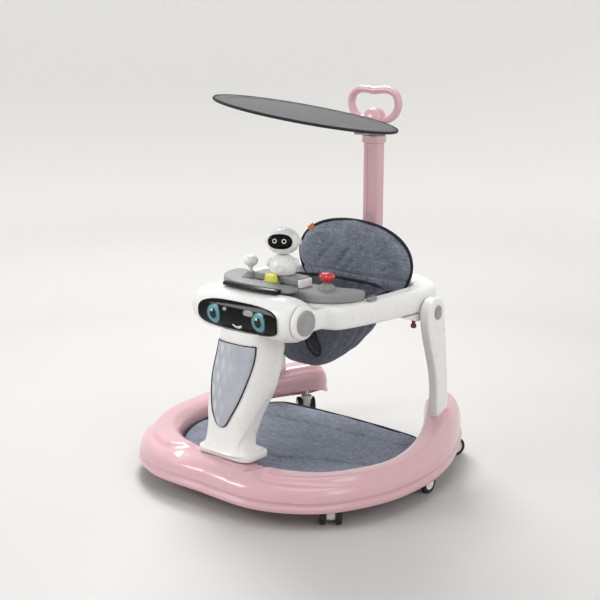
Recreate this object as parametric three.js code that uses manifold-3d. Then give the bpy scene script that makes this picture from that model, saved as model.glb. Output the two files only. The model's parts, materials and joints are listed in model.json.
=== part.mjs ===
// A baby walker: a U-shaped rolling base, a front column with a friendly face bar, a tray ring on two
// rear legs, a fabric seat, a play tray, a push handle and a round sunshade.
// Millimetres, +Z up. The face looks along -Y, the child's left is +X, and the origin is on the floor
// under the middle of the base.
import * as THREE from 'three';
import { mergeVertices } from 'three/addons/utils/BufferGeometryUtils.js';
import Module from 'manifold-3d';

const wasm = await Module();
wasm.setup();

// ---- driving dimensions ----
const GAP = 0.4; // between touching pieces
const WALL = 3; // moulded shells

// Half of the base ring from the front middle to the rear end: x, y, band width, top height, outer lip
// height, and how much higher the inner edge ends.
const BASE_STATIONS = [
  [0, -259, 106, 92, 29, 18], [60, -261, 106, 90, 29, 18], [120, -258, 106, 88, 29, 18],
  [176, -238, 102, 88, 29, 18], [227, -201, 92, 89, 29, 18], [262, -148, 82, 90, 30, 18],
  [284, -88, 77, 92, 31, 18], [292, -28, 74, 95, 33, 19], [290, 34, 73, 100, 35, 22],
  [277, 98, 74, 108, 38, 27], [254, 160, 77, 119, 41, 32], [226, 216, 82, 130, 43, 34],
  [198, 262, 86, 136, 44, 35], [187, 280, 86, 136, 44, 35],
];
const BASE_END = 32; // length of the rounded rear ends
const HOLLOW_BELOW = 20; // how far the hollow's cutter reaches below the lip
const MAT = { bottom: 54, top: 60, rear: 172, clearance: 4.5, corner: 8 };

const WHEEL_RADIUS = 21;
const WHEEL_WIDTH = 12;
const CASTER_TRAIL = 12;
const CASTER_CORE = 18; // thickness of the caster body between its wheels
const CASTER_TOP = 2 * WHEEL_RADIUS + 9;
const CASTERS = [
  // name, x, y, direction the wheels trail in, degrees from +X
  ['front_left', 237, -190, -49], ['front_right', -237, -190, 229],
  ['mid_left', 285, 41, 90], ['mid_right', -285, 41, 90],
  ['rear_left', 206, 272, 60], ['rear_right', -206, 272, 139],
];

const HEAD_Y = -152;
const HEAD_Z = 374;
const HEAD_RADIUS = 46;
const HEAD_HALF = 128;
const PIVOT_ROD = 5;
const EAR_THICK = 12;
const EAR_RADIUS = 36;
const CAP_RADIUS = 25;

// Front column: height, middle y, half width, half depth.
const COLUMN_RINGS = [
  [103.5, -222, 66, 38], [112, -219, 59, 37], [130, -213, 54, 37], [155, -204, 55, 42],
  [180, -196, 59, 48], [210, -181, 63, 56], [250, -167, 65, 60], [290, -156, 63, 58],
  [320, -152, 61, 54], [343, -151, 60, 50],
];
const PLATE = { halfWidth: 70, front: -252, rear: -172, bottom: 91.5, top: 103 };

const RING_TOP = 400;
const RING_BOTTOM = 351;
const LEG_PIVOT = { x: 231, y: 158, z: 354 };
const LEG_FOOT = { y: 192, z: 112, halfWidth: 20 };
const LEG_THICK = 24;
const FOOT_REACH = 249; // from the pivot to just past the foot's rear corner

const HANDLE_Y = 255;
const HANDLE_TOP = 686;
const SHADE_RADIUS = 195;
const SHADE_CENTRE = { x: 0, y: 16, z: 764 };
const SHADE_PITCH = -5.7;
const SHADE_ROLL = 8.4;

// ---- colours ----
const PINK = { color: 0xd9a3ab, roughness: 0.25, metalness: 0 };
const WHITE = { color: 0xf2f2f0, roughness: 0.35, metalness: 0 };
const GREY = { color: 0x9a9b9b, roughness: 0.4, metalness: 0 };
const BLACK = { color: 0x101012, roughness: 0.1, metalness: 0 };
const DENIM = { color: 0x626b7c, roughness: 0.95, metalness: 0 };
const STEEL = { color: 0xb8babd, roughness: 0.3, metalness: 1 };
const RUBBER = { color: 0x1a1a1b, roughness: 0.7, metalness: 0 };
const TEAL = { color: 0x35a5ad, roughness: 0.15, metalness: 0 };
const RED = { color: 0xcf1f2b, roughness: 0.25, metalness: 0 };
const DARK_RED = { color: 0x6b0d1b, roughness: 0.3, metalness: 0 };
const YELLOW = { color: 0xe6e24b, roughness: 0.3, metalness: 0 };
const SHADE = { color: 0x7d7f81, roughness: 0.9, metalness: 0 };

// ---- geometry helpers ----

// A closed three.js geometry as a solid that can be joined and cut.
function solid(geometry) {
  const plain = geometry.index ? geometry.toNonIndexed() : geometry.clone();
  plain.deleteAttribute('normal');
  plain.deleteAttribute('uv');
  const merged = mergeVertices(plain, 1e-4);
  const corners = merged.index.array;
  const triangles = [];
  for (let i = 0; i < corners.length; i += 3) {
    const [a, b, c] = [corners[i], corners[i + 1], corners[i + 2]];
    if (a !== b && b !== c && c !== a) triangles.push(a, b, c);
  }
  return new wasm.Manifold(new wasm.Mesh({
    numProp: 3,
    vertProperties: new Float32Array(merged.attributes.position.array),
    triVerts: new Uint32Array(triangles),
  }));
}

function geometryOf(shape) {
  const mesh = shape.getMesh();
  const geometry = new THREE.BufferGeometry();
  geometry.setAttribute('position', new THREE.BufferAttribute(mesh.vertProperties, 3));
  geometry.setIndex(new THREE.BufferAttribute(mesh.triVerts, 1));
  geometry.computeVertexNormals();
  return geometry;
}

const joined = (...shapes) => shapes.reduce((whole, next) => whole.add(next));
const cutFrom = (shape, ...tools) => tools.reduce((left, tool) => left.subtract(tool), shape);

// A closed solid through rings with the same number of points, with a fan over each end.
function loft(rings) {
  const count = rings[0].length;
  const points = rings.flat();
  const index = [];
  for (let i = 0; i + 1 < rings.length; i++) {
    for (let j = 0; j < count; j++) {
      const a = i * count + j;
      const b = i * count + ((j + 1) % count);
      index.push(a, b, b + count, a, b + count, a + count);
    }
  }
  for (const [first, flip] of [[0, false], [(rings.length - 1) * count, true]]) {
    const middle = points.length;
    const centre = new THREE.Vector3();
    for (let j = 0; j < count; j++) centre.addScaledVector(points[first + j], 1 / count);
    points.push(centre);
    for (let j = 0; j < count; j++) {
      const a = first + j;
      const b = first + ((j + 1) % count);
      if (flip) index.push(a, b, middle);
      else index.push(b, a, middle);
    }
  }
  if (volumeOf(points, index) < 0) index.reverse();
  const geometry = new THREE.BufferGeometry().setFromPoints(points);
  geometry.setIndex(index);
  geometry.computeVertexNormals();
  return geometry;
}

function volumeOf(points, index) {
  let total = 0;
  for (let i = 0; i < index.length; i += 3) {
    const [a, b, c] = [points[index[i]], points[index[i + 1]], points[index[i + 2]]];
    total += a.dot(b.clone().cross(c)) / 6;
  }
  return total;
}

// Points of a rounded box outline; power 2 is an ellipse and higher powers are squarer.
function squircle(halfU, halfV, power, count) {
  const points = [];
  for (let i = 0; i < count; i++) {
    const angle = (i / count) * Math.PI * 2;
    const u = Math.sign(Math.cos(angle)) * Math.abs(Math.cos(angle)) ** (2 / power);
    const v = Math.sign(Math.sin(angle)) * Math.abs(Math.sin(angle)) ** (2 / power);
    points.push(new THREE.Vector2(halfU * u, halfV * v));
  }
  return points;
}

const flatRing = (points, x, y, z) => points.map((p) => new THREE.Vector3(x + p.x, y + p.y, z));

// Rows of numbers read as smooth curves: returns count rows along them.
function smoothRows(rows, count) {
  const columns = rows[0].map((_, c) => new THREE.SplineCurve(
    rows.map((row, i) => new THREE.Vector2(i, row[c])),
  ));
  const result = [];
  for (let i = 0; i < count; i++) {
    const t = i / (count - 1);
    result.push(columns.map((curve) => curve.getPoint(t).y));
  }
  return result;
}

function shapeOf(points) {
  return new THREE.Shape(points.map((p) => new THREE.Vector2(p.x, p.y)));
}

// A flat outline raised from z = low to z = high, with rounded edges of size bevel.
function slab(shape, low, high, bevel = 0, steps = 1) {
  const geometry = new THREE.ExtrudeGeometry(shape, {
    depth: high - low - 2 * bevel,
    bevelEnabled: bevel > 0,
    bevelThickness: bevel,
    bevelSize: bevel,
    bevelOffset: -bevel,
    bevelSegments: steps,
    curveSegments: 6,
  });
  geometry.translate(0, 0, low + bevel);
  return geometry;
}

// The same raised outline, stood up so that its thickness runs along X and its outline lies in YZ.
function sideSlab(shape, low, high, bevel = 0, steps = 1) {
  const geometry = slab(shape, low, high, bevel, steps);
  geometry.rotateY(Math.PI / 2);
  geometry.rotateX(Math.PI / 2);
  return geometry;
}

// The same raised outline, with its thickness along Y and its outline lying in XZ.
function frontSlab(shape, low, high, bevel = 0, steps = 1) {
  const geometry = slab(shape, -high, -low, bevel, steps);
  geometry.rotateX(Math.PI / 2);
  return geometry;
}

function rod(radius, from, to, sides = 12) {
  const geometry = new THREE.CylinderGeometry(radius, radius, from.distanceTo(to), sides);
  const turn = new THREE.Quaternion().setFromUnitVectors(
    new THREE.Vector3(0, 1, 0), to.clone().sub(from).normalize(),
  );
  geometry.applyQuaternion(turn);
  const middle = from.clone().lerp(to, 0.5);
  geometry.translate(middle.x, middle.y, middle.z);
  return geometry;
}

const at = (x, y, z) => new THREE.Vector3(x, y, z);
const rodX = (radius, x0, x1, y, z, sides) => rod(radius, at(x0, y, z), at(x1, y, z), sides);
const rodZ = (radius, x, y, z0, z1, sides) => rod(radius, at(x, y, z0), at(x, y, z1), sides);

// A turned piece about a vertical axis: profile points are radius and height, closed on the axis.
function turned(profile, sides, x, y) {
  const geometry = new THREE.LatheGeometry(profile.map(([r, z]) => new THREE.Vector2(r, z)), sides);
  geometry.rotateX(Math.PI / 2);
  geometry.translate(x, y, 0);
  return geometry;
}

function ball(radii, centre, across = 14, up = 8) {
  const geometry = new THREE.SphereGeometry(1, across, up);
  geometry.scale(...radii);
  geometry.translate(...centre);
  return geometry;
}

function tube(points, radius, sides, steps, closed = false) {
  const path = new THREE.CatmullRomCurve3(points, closed);
  const section = new THREE.Shape(squircle(radius, radius, 2, sides));
  return new THREE.ExtrudeGeometry(section, { steps, extrudePath: path, bevelEnabled: false });
}

function node(name, geometry, finish) {
  const material = new THREE.MeshStandardMaterial(finish);
  const mesh = new THREE.Mesh(geometry, material);
  mesh.name = name;
  return mesh;
}

// ---- base ----

// One cross-section of the band: across is outward, up is from the outer lip.
function bandSection(width, height, innerLift) {
  const half = width / 2;
  const top = height;
  return [
    [half, 0], [half, 11], [half - 5, 16], [half - 8, 0.6 * top], [half - 22, 0.91 * top],
    [0.1 * width, top], [-half + 14, 0.93 * top], [-half + 2, 0.72 * top], [-half, innerLift],
  ];
}

// The hollow under the band, open below.
function hollowSection(width, height) {
  const half = width / 2 - WALL;
  const top = height - WALL;
  return [
    [half, -HOLLOW_BELOW], [half, 9], [half - 10, 0.6 * top], [half - 24, 0.9 * top],
    [-half + 16, 0.9 * top], [-half, 0.6 * top], [-half, -HOLLOW_BELOW],
  ];
}

// The whole band as rings across it. section gives each ring's outline from a station's sizes, and
// endTurns places the rings that round off the rear ends, 0 to 1.
function bandRings(section, endTurns) {
  const half = smoothRows(BASE_STATIONS, 13);
  const [x1, y1, width1, top1, ...lips] = half[half.length - 1];
  const [x0, y0] = half[half.length - 2];
  const heading = new THREE.Vector2(x1 - x0, y1 - y0).normalize();
  for (const turn of endTurns) {
    const along = Math.sin(turn * Math.PI / 2) * BASE_END;
    const narrow = Math.cos(turn * Math.PI / 2);
    const top = top1 - (1 - narrow) * 10;
    half.push([x1 + heading.x * along, y1 + heading.y * along, width1 * narrow, top, ...lips]);
  }
  const left = half.slice(1).reverse().map(([x, ...rest]) => [-x, ...rest]);
  const rows = [...left, ...half];
  return rows.map(([x, y, width, top, lip, innerLift], i) => {
    const before = rows[Math.max(i - 1, 0)];
    const after = rows[Math.min(i + 1, rows.length - 1)];
    const along = new THREE.Vector2(after[0] - before[0], after[1] - before[1]).normalize();
    return section(width, top - lip, innerLift).map(([across, up]) => (
      at(x + along.y * across, y - along.x * across, lip + up)
    ));
  });
}


// The swing of a leg's foot about its pivot, as a cutter for the seat in the base.
function legSeat(side) {
  const { x, y, z } = LEG_PIVOT;
  const half = LEG_THICK / 2 + 1.5;
  const sweep = solid(rodX(FOOT_REACH, side * x - half, side * x + half, y, z, 72));
  const rear = LEG_FOOT.y + LEG_FOOT.halfWidth + GAP;
  const room = solid(new THREE.BoxGeometry(60, 120, 100).translate(side * x, rear - 60, z - 210));
  return sweep.intersect(room);
}

function baseRing() {
  const outside = solid(loft(bandRings(bandSection, [0.4, 0.75, 0.95])));
  const hollow = solid(loft(bandRings(hollowSection, [0.4])));
  const bosses = CASTERS.map(([, x, y]) => solid(rodZ(14, x, y, CASTER_TOP, bandTop(x, y) - 6, 8)));
  const holes = CASTERS.map(([, x, y]) => solid(rodZ(4.8, x, y, 0, CASTER_TOP + 26, 8)));
  const legBlocks = [1, -1].map((side) => outside.intersect(solid(
    new THREE.BoxGeometry(LEG_THICK + 12, 78, 44).translate(side * LEG_PIVOT.x, LEG_FOOT.y - 8, 118),
  )));
  const plateSeat = solid(slab(plateOutline(GAP), PLATE.bottom - GAP, 130));
  const shell = joined(cutFrom(outside, hollow), ...bosses, ...legBlocks);
  return geometryOf(cutFrom(shell, ...holes, legSeat(1), legSeat(-1), plateSeat));
}

// The band's top height near a point, from the nearest station.
function bandTop(x, y) {
  const distance = (row) => Math.hypot(row[0] - Math.abs(x), row[1] - y);
  return BASE_STATIONS.reduce((best, row) => (distance(row) < distance(best) ? row : best))[3];
}

function footMat() {
  const rows = smoothRows(BASE_STATIONS, 20);
  const edge = [];
  for (let i = 1; i < rows.length; i++) {
    const [x0, y0, width] = rows[i - 1];
    const along = new THREE.Vector2(rows[i][0] - x0, rows[i][1] - y0).normalize();
    const inner = width / 2 + MAT.clearance;
    const point = new THREE.Vector2(x0 - along.y * inner, y0 + along.x * inner);
    if (point.y < MAT.rear - MAT.corner) edge.push(point);
  }
  edge.push(new THREE.Vector2(edge[edge.length - 1].x - MAT.corner, MAT.rear));
  const left = edge.filter((p) => p.x > 1).reverse().map((p) => new THREE.Vector2(-p.x, p.y));
  return slab(shapeOf([...edge, ...left]), MAT.bottom, MAT.top, 2, 1);
}

// ---- front column and face bar ----

function plateOutline(grow) {
  const { halfWidth, front, rear } = PLATE;
  const points = squircle(halfWidth + grow, (rear - front) / 2 + grow, 5, 20);
  return shapeOf(points.map((p) => new THREE.Vector2(p.x, p.y + (rear + front) / 2)));
}

const footPlate = () => slab(plateOutline(0), PLATE.bottom, PLATE.top, 2);

function columnLoft(grow, low, high, sides = 20) {
  const rows = smoothRows(COLUMN_RINGS, 8).map(([z, y, halfX, halfY]) => [
    Math.min(Math.max(z, low), high), y, halfX + grow, halfY + grow,
  ]);
  return loft(rows.map(([z, y, halfX, halfY]) => flatRing(squircle(halfX, halfY, 3.2, sides), 0, y, z)));
}

function headCylinder(radius, half, sides = 28) {
  return solid(rodX(radius, -half, half, HEAD_Y, HEAD_Z, sides));
}

function frontColumn() {
  const outside = solid(columnLoft(0, 0, 999));
  const inside = solid(columnLoft(-WALL - 1.5, 0, 336, 12)).translate(0, 0, -1);
  const visorRoom = solid(new THREE.BoxGeometry(240, 80, 40).translate(0, HEAD_Y - 70, HEAD_Z - 16));
  return geometryOf(cutFrom(outside, inside, visorRoom, headCylinder(HEAD_RADIUS + GAP, 200)));
}

// Tongue-shaped inlay on the front of the column.
function columnPanel() {
  const tongue = new THREE.Shape();
  tongue.moveTo(-50, 318);
  tongue.lineTo(50, 318);
  tongue.bezierCurveTo(56, 268, 42, 205, 14, 162);
  tongue.bezierCurveTo(6, 152, -6, 152, -14, 162);
  tongue.bezierCurveTo(-42, 205, -56, 268, -50, 318);
  const prism = solid(frontSlab(tongue, -320, HEAD_Y - 12));
  const skin = solid(columnLoft(3, 0, 999)).subtract(solid(columnLoft(GAP, -1, 1000)));
  return geometryOf(skin.intersect(prism));
}

function headShell() {
  const outer = [[HEAD_RADIUS - 8, HEAD_HALF], [HEAD_RADIUS - 3.5, 118], [HEAD_RADIUS, 100]];
  const inner = HEAD_RADIUS - 12;
  const bearing = PIVOT_ROD + GAP;
  const end = [[bearing, HEAD_HALF], [bearing, HEAD_HALF - 10], [inner, HEAD_HALF - 10]];
  const profile = [
    ...outer.map(([r, x]) => [r, -x]), ...outer.slice().reverse(),
    ...end, ...end.slice().reverse().map(([r, x]) => [r, -x]), [outer[0][0], -HEAD_HALF],
  ];
  const geometry = new THREE.LatheGeometry(profile.map(([r, x]) => new THREE.Vector2(r, x)), 28);
  geometry.rotateZ(-Math.PI / 2);
  geometry.translate(0, HEAD_Y, HEAD_Z);
  return geometry;
}

// A thin piece that follows the round front of the face bar, cut to an outline in XZ.
function faceInlay(outline, inner, outer) {
  const skin = headCylinder(outer, HEAD_HALF - 10, 40).subtract(headCylinder(inner, HEAD_HALF, 40));
  return geometryOf(skin.intersect(solid(frontSlab(outline, HEAD_Y - 80, HEAD_Y - 8))));
}

const VISOR_OUT = HEAD_RADIUS + 3;

function visor() {
  const outline = shapeOf(squircle(107, 31, 3.4, 28).map((p) => new THREE.Vector2(p.x, p.y + HEAD_Z - 3)));
  return faceInlay(outline, HEAD_RADIUS + GAP, VISOR_OUT);
}

function eye(side) {
  const outline = new THREE.Shape(squircle(16, 18.5, 2, 18).map(
    (p) => new THREE.Vector2(p.x + side * 61, p.y + HEAD_Z - 3),
  ));
  return faceInlay(outline, VISOR_OUT + GAP, VISOR_OUT + 1.6);
}

function smile() {
  const outline = new THREE.Shape();
  outline.moveTo(-13, HEAD_Z - 17);
  outline.quadraticCurveTo(0, HEAD_Z - 25, 13, HEAD_Z - 17);
  outline.quadraticCurveTo(12, HEAD_Z - 23, 8, HEAD_Z - 25);
  outline.quadraticCurveTo(0, HEAD_Z - 29, -8, HEAD_Z - 25);
  outline.quadraticCurveTo(-12, HEAD_Z - 23, -13, HEAD_Z - 17);
  return faceInlay(outline, VISOR_OUT + GAP, VISOR_OUT + 1.4);
}

function headCap(side) {
  const face = HEAD_HALF + 1 + EAR_THICK + GAP;
  const profile = [[0, 0], [CAP_RADIUS, 0], [CAP_RADIUS, 3], [CAP_RADIUS - 2, 5], [0, 5.5]];
  const geometry = new THREE.LatheGeometry(profile.map(([r, x]) => new THREE.Vector2(r, x)), 20);
  geometry.rotateZ(-Math.PI / 2);
  if (side < 0) geometry.rotateZ(Math.PI);
  geometry.translate(side * face, HEAD_Y, HEAD_Z);
  return geometry;
}

// ---- tray ring and rear legs ----

// Half outlines of the tray ring, front to rear.
const RING_OUTER = [[146, -106], [177, -88], [193, -30], [206, 40], [213, 105], [215, 160], [202, 214],
  [158, 260], [96, 288], [34, 296]];
const RING_INNER = [[120, -46], [146, -34], [159, 0], [164, 60], [165, 120], [162, 172], [146, 202],
  [110, 208], [50, 208]];

function mirroredOutline(rows, grow, pointsPerSide) {
  const curve = new THREE.SplineCurve(rows.map(([x, y]) => new THREE.Vector2(x, y)));
  const half = curve.getPoints(pointsPerSide);
  const grown = half.map((p, i) => {
    const a = half[Math.max(i - 1, 0)];
    const b = half[Math.min(i + 1, half.length - 1)];
    const along = b.clone().sub(a).normalize();
    return new THREE.Vector2(p.x + along.y * grow, p.y - along.x * grow);
  });
  const mirror = grown.slice().reverse().map((p) => new THREE.Vector2(-p.x, p.y));
  return [...grown, ...mirror];
}

function ringPlan(grow, pointsPerSide) {
  const outer = mirroredOutline(RING_OUTER, grow, pointsPerSide);
  outer[0].y -= grow;
  outer[outer.length - 1].y -= grow;
  const shape = shapeOf(outer);
  shape.holes.push(new THREE.Path(mirroredOutline(RING_INNER, -grow, pointsPerSide - 2)));
  return shape;
}

function trayRing() {
  const outside = solid(slab(ringPlan(0, 13), RING_BOTTOM, RING_TOP, 5));
  const hollow = solid(slab(ringPlan(-WALL, 13), RING_BOTTOM - 10, RING_TOP - WALL));
  const ears = [1, -1].map((side) => {
    const start = side * (HEAD_HALF + 1);
    const end = side * (HEAD_HALF + 1 + EAR_THICK);
    return solid(rodX(EAR_RADIUS, start, end, HEAD_Y, HEAD_Z, 20));
  });
  const bridges = [1, -1].map((side) => solid(
    new THREE.BoxGeometry(EAR_THICK, 40, RING_TOP - RING_BOTTOM - 12).translate(
      side * (HEAD_HALF + 1 + EAR_THICK / 2), -110, (RING_TOP + RING_BOTTOM) / 2,
    ),
  ));
  const handleHole = solid(handleSection(HANDLE_HALF_X + GAP, HANDLE_HALF_Y + GAP, RING_BOTTOM - 20, 450));
  const handleBoss = solid(slab(shapeOf(squircle(30, 25, 5, 16)), RING_BOTTOM, RING_TOP - 1)
    .translate(0, HANDLE_Y, 0));
  const rodHole = solid(rodX(PIVOT_ROD + GAP, -200, 200, HEAD_Y, HEAD_Z, 12));
  const body = cutFrom(outside, hollow, headCylinder(HEAD_RADIUS + 1.2, HEAD_HALF + 1));
  return geometryOf(cutFrom(joined(body, ...ears, ...bridges, handleBoss), handleHole, rodHole));
}

const pivotRod = () => rodX(
  PIVOT_ROD, -HEAD_HALF - EAR_THICK, HEAD_HALF + EAR_THICK, HEAD_Y, HEAD_Z, 12,
);

// The leg's outline in YZ: a round top about the pivot that narrows to a straight foot.
function legOutline() {
  const { y, z } = LEG_PIVOT;
  const front = LEG_FOOT.y - LEG_FOOT.halfWidth;
  const rear = LEG_FOOT.y + LEG_FOOT.halfWidth;
  const shape = new THREE.Shape();
  shape.absarc(y, z, 31, 0, Math.PI, false);
  shape.bezierCurveTo(y - 31, z - 60, front - 8, z - 110, front - 4, LEG_FOOT.z + 70);
  shape.lineTo(front, LEG_FOOT.z);
  shape.lineTo(rear, LEG_FOOT.z);
  shape.bezierCurveTo(rear, z - 150, y + 38, z - 70, y + 31, z);
  return shape;
}

function rearLeg(side) {
  const half = LEG_THICK / 2;
  return sideSlab(legOutline(), side * LEG_PIVOT.x - half, side * LEG_PIVOT.x + half, 5);
}

function pivotCap(side) {
  const face = LEG_PIVOT.x + LEG_THICK / 2 + GAP;
  const oval = shapeOf(squircle(11.5, 15.5, 2.2, 16).map(
    (p) => new THREE.Vector2(p.x + LEG_PIVOT.y + 2, p.y + LEG_PIVOT.z),
  ));
  const [low, high] = side > 0 ? [face, face + 3] : [-face - 3, -face];
  return sideSlab(oval, low, high, 1);
}

const BRACKET_X = 203;

function legBracket(side) {
  const gusset = new THREE.Shape();
  gusset.moveTo(84, RING_BOTTOM - GAP);
  gusset.lineTo(132, RING_BOTTOM - 17);
  gusset.lineTo(146, RING_BOTTOM - 17);
  gusset.lineTo(146, RING_BOTTOM - GAP);
  gusset.closePath();
  const plate = solid(sideSlab(gusset, side * BRACKET_X - 9, side * BRACKET_X + 9, 1));
  const bore = solid(rodZ(4.5, side * BRACKET_X, 130, RING_BOTTOM - 30, RING_BOTTOM - 5, 12));
  return geometryOf(plate.subtract(bore));
}

// The button hangs below the bracket by its travel and slides up its bore.
function releaseButton(side) {
  const low = RING_BOTTOM - 32;
  const top = RING_BOTTOM - 10;
  const profile = [[0, low], [4, low + 0.5], [6, low + 3], [6, low + 8], [4, low + 10], [4, top], [0, top]];
  return turned(profile, 12, side * BRACKET_X, 130);
}

// ---- seat ----

function seatBack() {
  const outline = new THREE.Shape();
  outline.moveTo(-118, 368);
  outline.lineTo(118, 368);
  outline.bezierCurveTo(142, 376, 160, 412, 157, 440);
  outline.bezierCurveTo(152, 490, 92, 522, 0, 522);
  outline.bezierCurveTo(-92, 522, -152, 490, -157, 440);
  outline.bezierCurveTo(-160, 412, -142, 376, -118, 368);
  return frontSlab(outline, 176, 198, 7);
}

// The hanging seat as an open bucket with two leg holes: height, middle y, half width, half depth.
const SLING_RINGS = [[392, 62, 152, 102], [352, 60, 146, 97], [316, 57, 134, 88], [279, 51, 106, 74],
  [257, 44, 80, 60], [240, 37, 58, 45], [232, 35, 44, 34]];

function slingLoft(grow, lift) {
  return loft(smoothRows(SLING_RINGS, 7).map(([z, y, halfX, halfY]) => (
    flatRing(squircle(halfX + grow, halfY + grow, 2.6, 18), 0, y, z + lift)
  )));
}

function seatSling() {
  const legHoles = [1, -1].map((side) => solid(
    rod(33, at(side * 66, -90, 284), at(side * 60, 60, 300), 10),
  ));
  return geometryOf(cutFrom(solid(slingLoft(0, 0)), solid(slingLoft(-7, 7)), ...legHoles));
}

// ---- play tray ----

const PLAY_BOTTOM = RING_TOP + GAP;
const PLAY_TOP = RING_TOP + 19;
const NOSE_LOW = HEAD_Z + HEAD_RADIUS + 1.2;
const KEY = { x: 0, y: -93, low: PLAY_TOP + 8, high: PLAY_TOP + 25 };

function playTray() {
  const plan = new THREE.Shape();
  plan.moveTo(-96, -101);
  plan.lineTo(96, -101);
  plan.bezierCurveTo(140, -98, 178, -60, 178, -14);
  plan.bezierCurveTo(178, 4, 150, 6, 136, -4);
  plan.bezierCurveTo(100, -26, -100, -26, -136, -4);
  plan.bezierCurveTo(-150, 6, -178, 4, -178, -14);
  plan.bezierCurveTo(-178, -60, -140, -98, -96, -101);
  const plate = solid(slab(plan, PLAY_BOTTOM, PLAY_TOP, 4));
  const nose = solid(slab(noseOutline(0), NOSE_LOW, NOSE_LOW + 6, 1.5).translate(0, -120, 0));
  const rib = solid(new THREE.BoxGeometry(150, 12, 12).translate(0, -98, PLAY_TOP));
  const keyBed = solid(slab(shapeOf(squircle(19, 13, 4, 16)), PLAY_TOP - 6, KEY.low + 2, 1)
    .translate(KEY.x, KEY.y, 0));
  const keyPocket = solid(slab(shapeOf(squircle(15.5, 10, 4, 16)), KEY.low - 3.5, KEY.low + 20)
    .translate(KEY.x, KEY.y, 0));
  const body = cutFrom(joined(plate, nose, rib, keyBed), keyPocket);
  return geometryOf(cutFrom(body, headCylinder(HEAD_RADIUS + 1, HEAD_HALF)));
}

const noseOutline = (grow) => shapeOf(squircle(84 + grow, 24 + grow, 4, 20));

// The glossy strip along the play tray's front edge.
function trayStrip() {
  const strip = solid(slab(shapeOf(squircle(76, 11, 5, 20)), NOSE_LOW, NOSE_LOW + 8.5, 2)
    .translate(0, -153, 0));
  const nose = solid(slab(noseOutline(GAP), NOSE_LOW - 9, NOSE_LOW + 20).translate(0, -120, 0));
  return geometryOf(cutFrom(strip, nose));
}

function trayClip(side) {
  return slab(shapeOf(squircle(7, 14, 4, 12)), PLAY_BOTTOM, PLAY_BOTTOM + 6, 1.5)
    .translate(side * 187, 2, 0);
}

function toyBlock() {
  return slab(shapeOf(squircle(62, 22, 6, 20)), PLAY_TOP + GAP, PLAY_TOP + 20, 4)
    .translate(0, -58, 0);
}

const yellowKey = () => (
  slab(shapeOf(squircle(15, 9.5, 4, 16)), KEY.low, KEY.high, 3).translate(KEY.x, KEY.y, 0)
);

const LEVER = { x: -92, y: -54 };
const KNOB = { x: 106, y: -42 };
const DOME_TOP = PLAY_TOP + 12;

function dome(x, y, hole) {
  const profile = [[0, PLAY_TOP + GAP], [19, PLAY_TOP + GAP], [18, PLAY_TOP + 4], [12, PLAY_TOP + 9],
    [7, DOME_TOP], [0, DOME_TOP]];
  const body = solid(turned(profile, 16, x, y));
  return geometryOf(body.subtract(solid(rodZ(hole, x, y, PLAY_TOP + 3, DOME_TOP + 5, 10))));
}

function leverKnob() {
  const profile = [[0, DOME_TOP + 0.5], [4, DOME_TOP + 0.5], [4.5, DOME_TOP + 7], [11, DOME_TOP + 12],
    [16, DOME_TOP + 21], [14, DOME_TOP + 30], [7, DOME_TOP + 35.5], [0, DOME_TOP + 36.5]];
  return turned(profile, 14, LEVER.x, LEVER.y);
}

function redKnob() {
  const profile = [[0, DOME_TOP + 0.5], [5, DOME_TOP + 0.5], [5, DOME_TOP + 4], [13, DOME_TOP + 6],
    [15.5, DOME_TOP + 12], [13, DOME_TOP + 19], [6, DOME_TOP + 22], [0, DOME_TOP + 22]];
  return turned(profile, 8, KNOB.x, KNOB.y);
}

const ROBOT = { x: 2, y: -58, base: PLAY_TOP + 20 + GAP, neck: PLAY_TOP + 62, turn: 27 };

function robotBody() {
  const { x, y, base, neck } = ROBOT;
  const profile = [[0, base], [24, base], [27, base + 8], [25, base + 22], [19, base + 34],
    [12, neck - 2], [0, neck - 2]];
  const arms = [1, -1].map((side) => solid(ball([6, 7, 11], [x + side * 25, y, base + 24], 8, 6)));
  return geometryOf(joined(solid(turned(profile, 16, x, y)), ...arms));
}

// The head and its face are made about the neck's axis, face along -Y.
function robotHead() {
  const skull = solid(ball([35, 29, 25], [0, 0, 26], 16, 10));
  const ears = [1, -1].map((side) => solid(rodX(7, side * 30, side * 38, 4, 26, 12)));
  const neckPost = solid(rodZ(8, 0, 0, -1.5, 10, 12));
  const facePocket = solid(ball([26, 8, 17], [0, -25, 29]));
  return geometryOf(cutFrom(joined(skull, ...ears, neckPost), facePocket));
}

const robotFace = () => ball([25, 6.8, 16], [0, -25, 29]);

// ---- push handle and sunshade ----

const HANDLE_HALF_X = 20;
const HANDLE_HALF_Y = 16.5;

function handleSection(halfX, halfY, low, high) {
  return slab(shapeOf(squircle(halfX, halfY, 5, 16)), low, high).translate(0, HANDLE_Y, 0);
}

function handleSocket() {
  const collar = slab(shapeOf(squircle(27, 23, 5, 16)), RING_TOP + GAP, RING_TOP + 16, 2)
    .translate(0, HANDLE_Y, 0);
  return geometryOf(solid(collar).subtract(
    solid(handleSection(HANDLE_HALF_X + GAP, HANDLE_HALF_Y + GAP, RING_TOP - 20, RING_TOP + 40)),
  ));
}

function handleColumn() {
  const outside = solid(handleSection(HANDLE_HALF_X, HANDLE_HALF_Y, RING_BOTTOM + 4, HANDLE_TOP));
  const inside = solid(handleSection(HANDLE_HALF_X - 2.5, HANDLE_HALF_Y - 2.5, RING_BOTTOM, HANDLE_TOP + 5));
  const channel = solid(new THREE.BoxGeometry(14, 3, HANDLE_TOP - RING_TOP - 60).translate(
    0, HANDLE_Y - HANDLE_HALF_Y, (HANDLE_TOP + RING_TOP) / 2,
  ));
  return geometryOf(cutFrom(outside, inside, channel));
}

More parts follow.
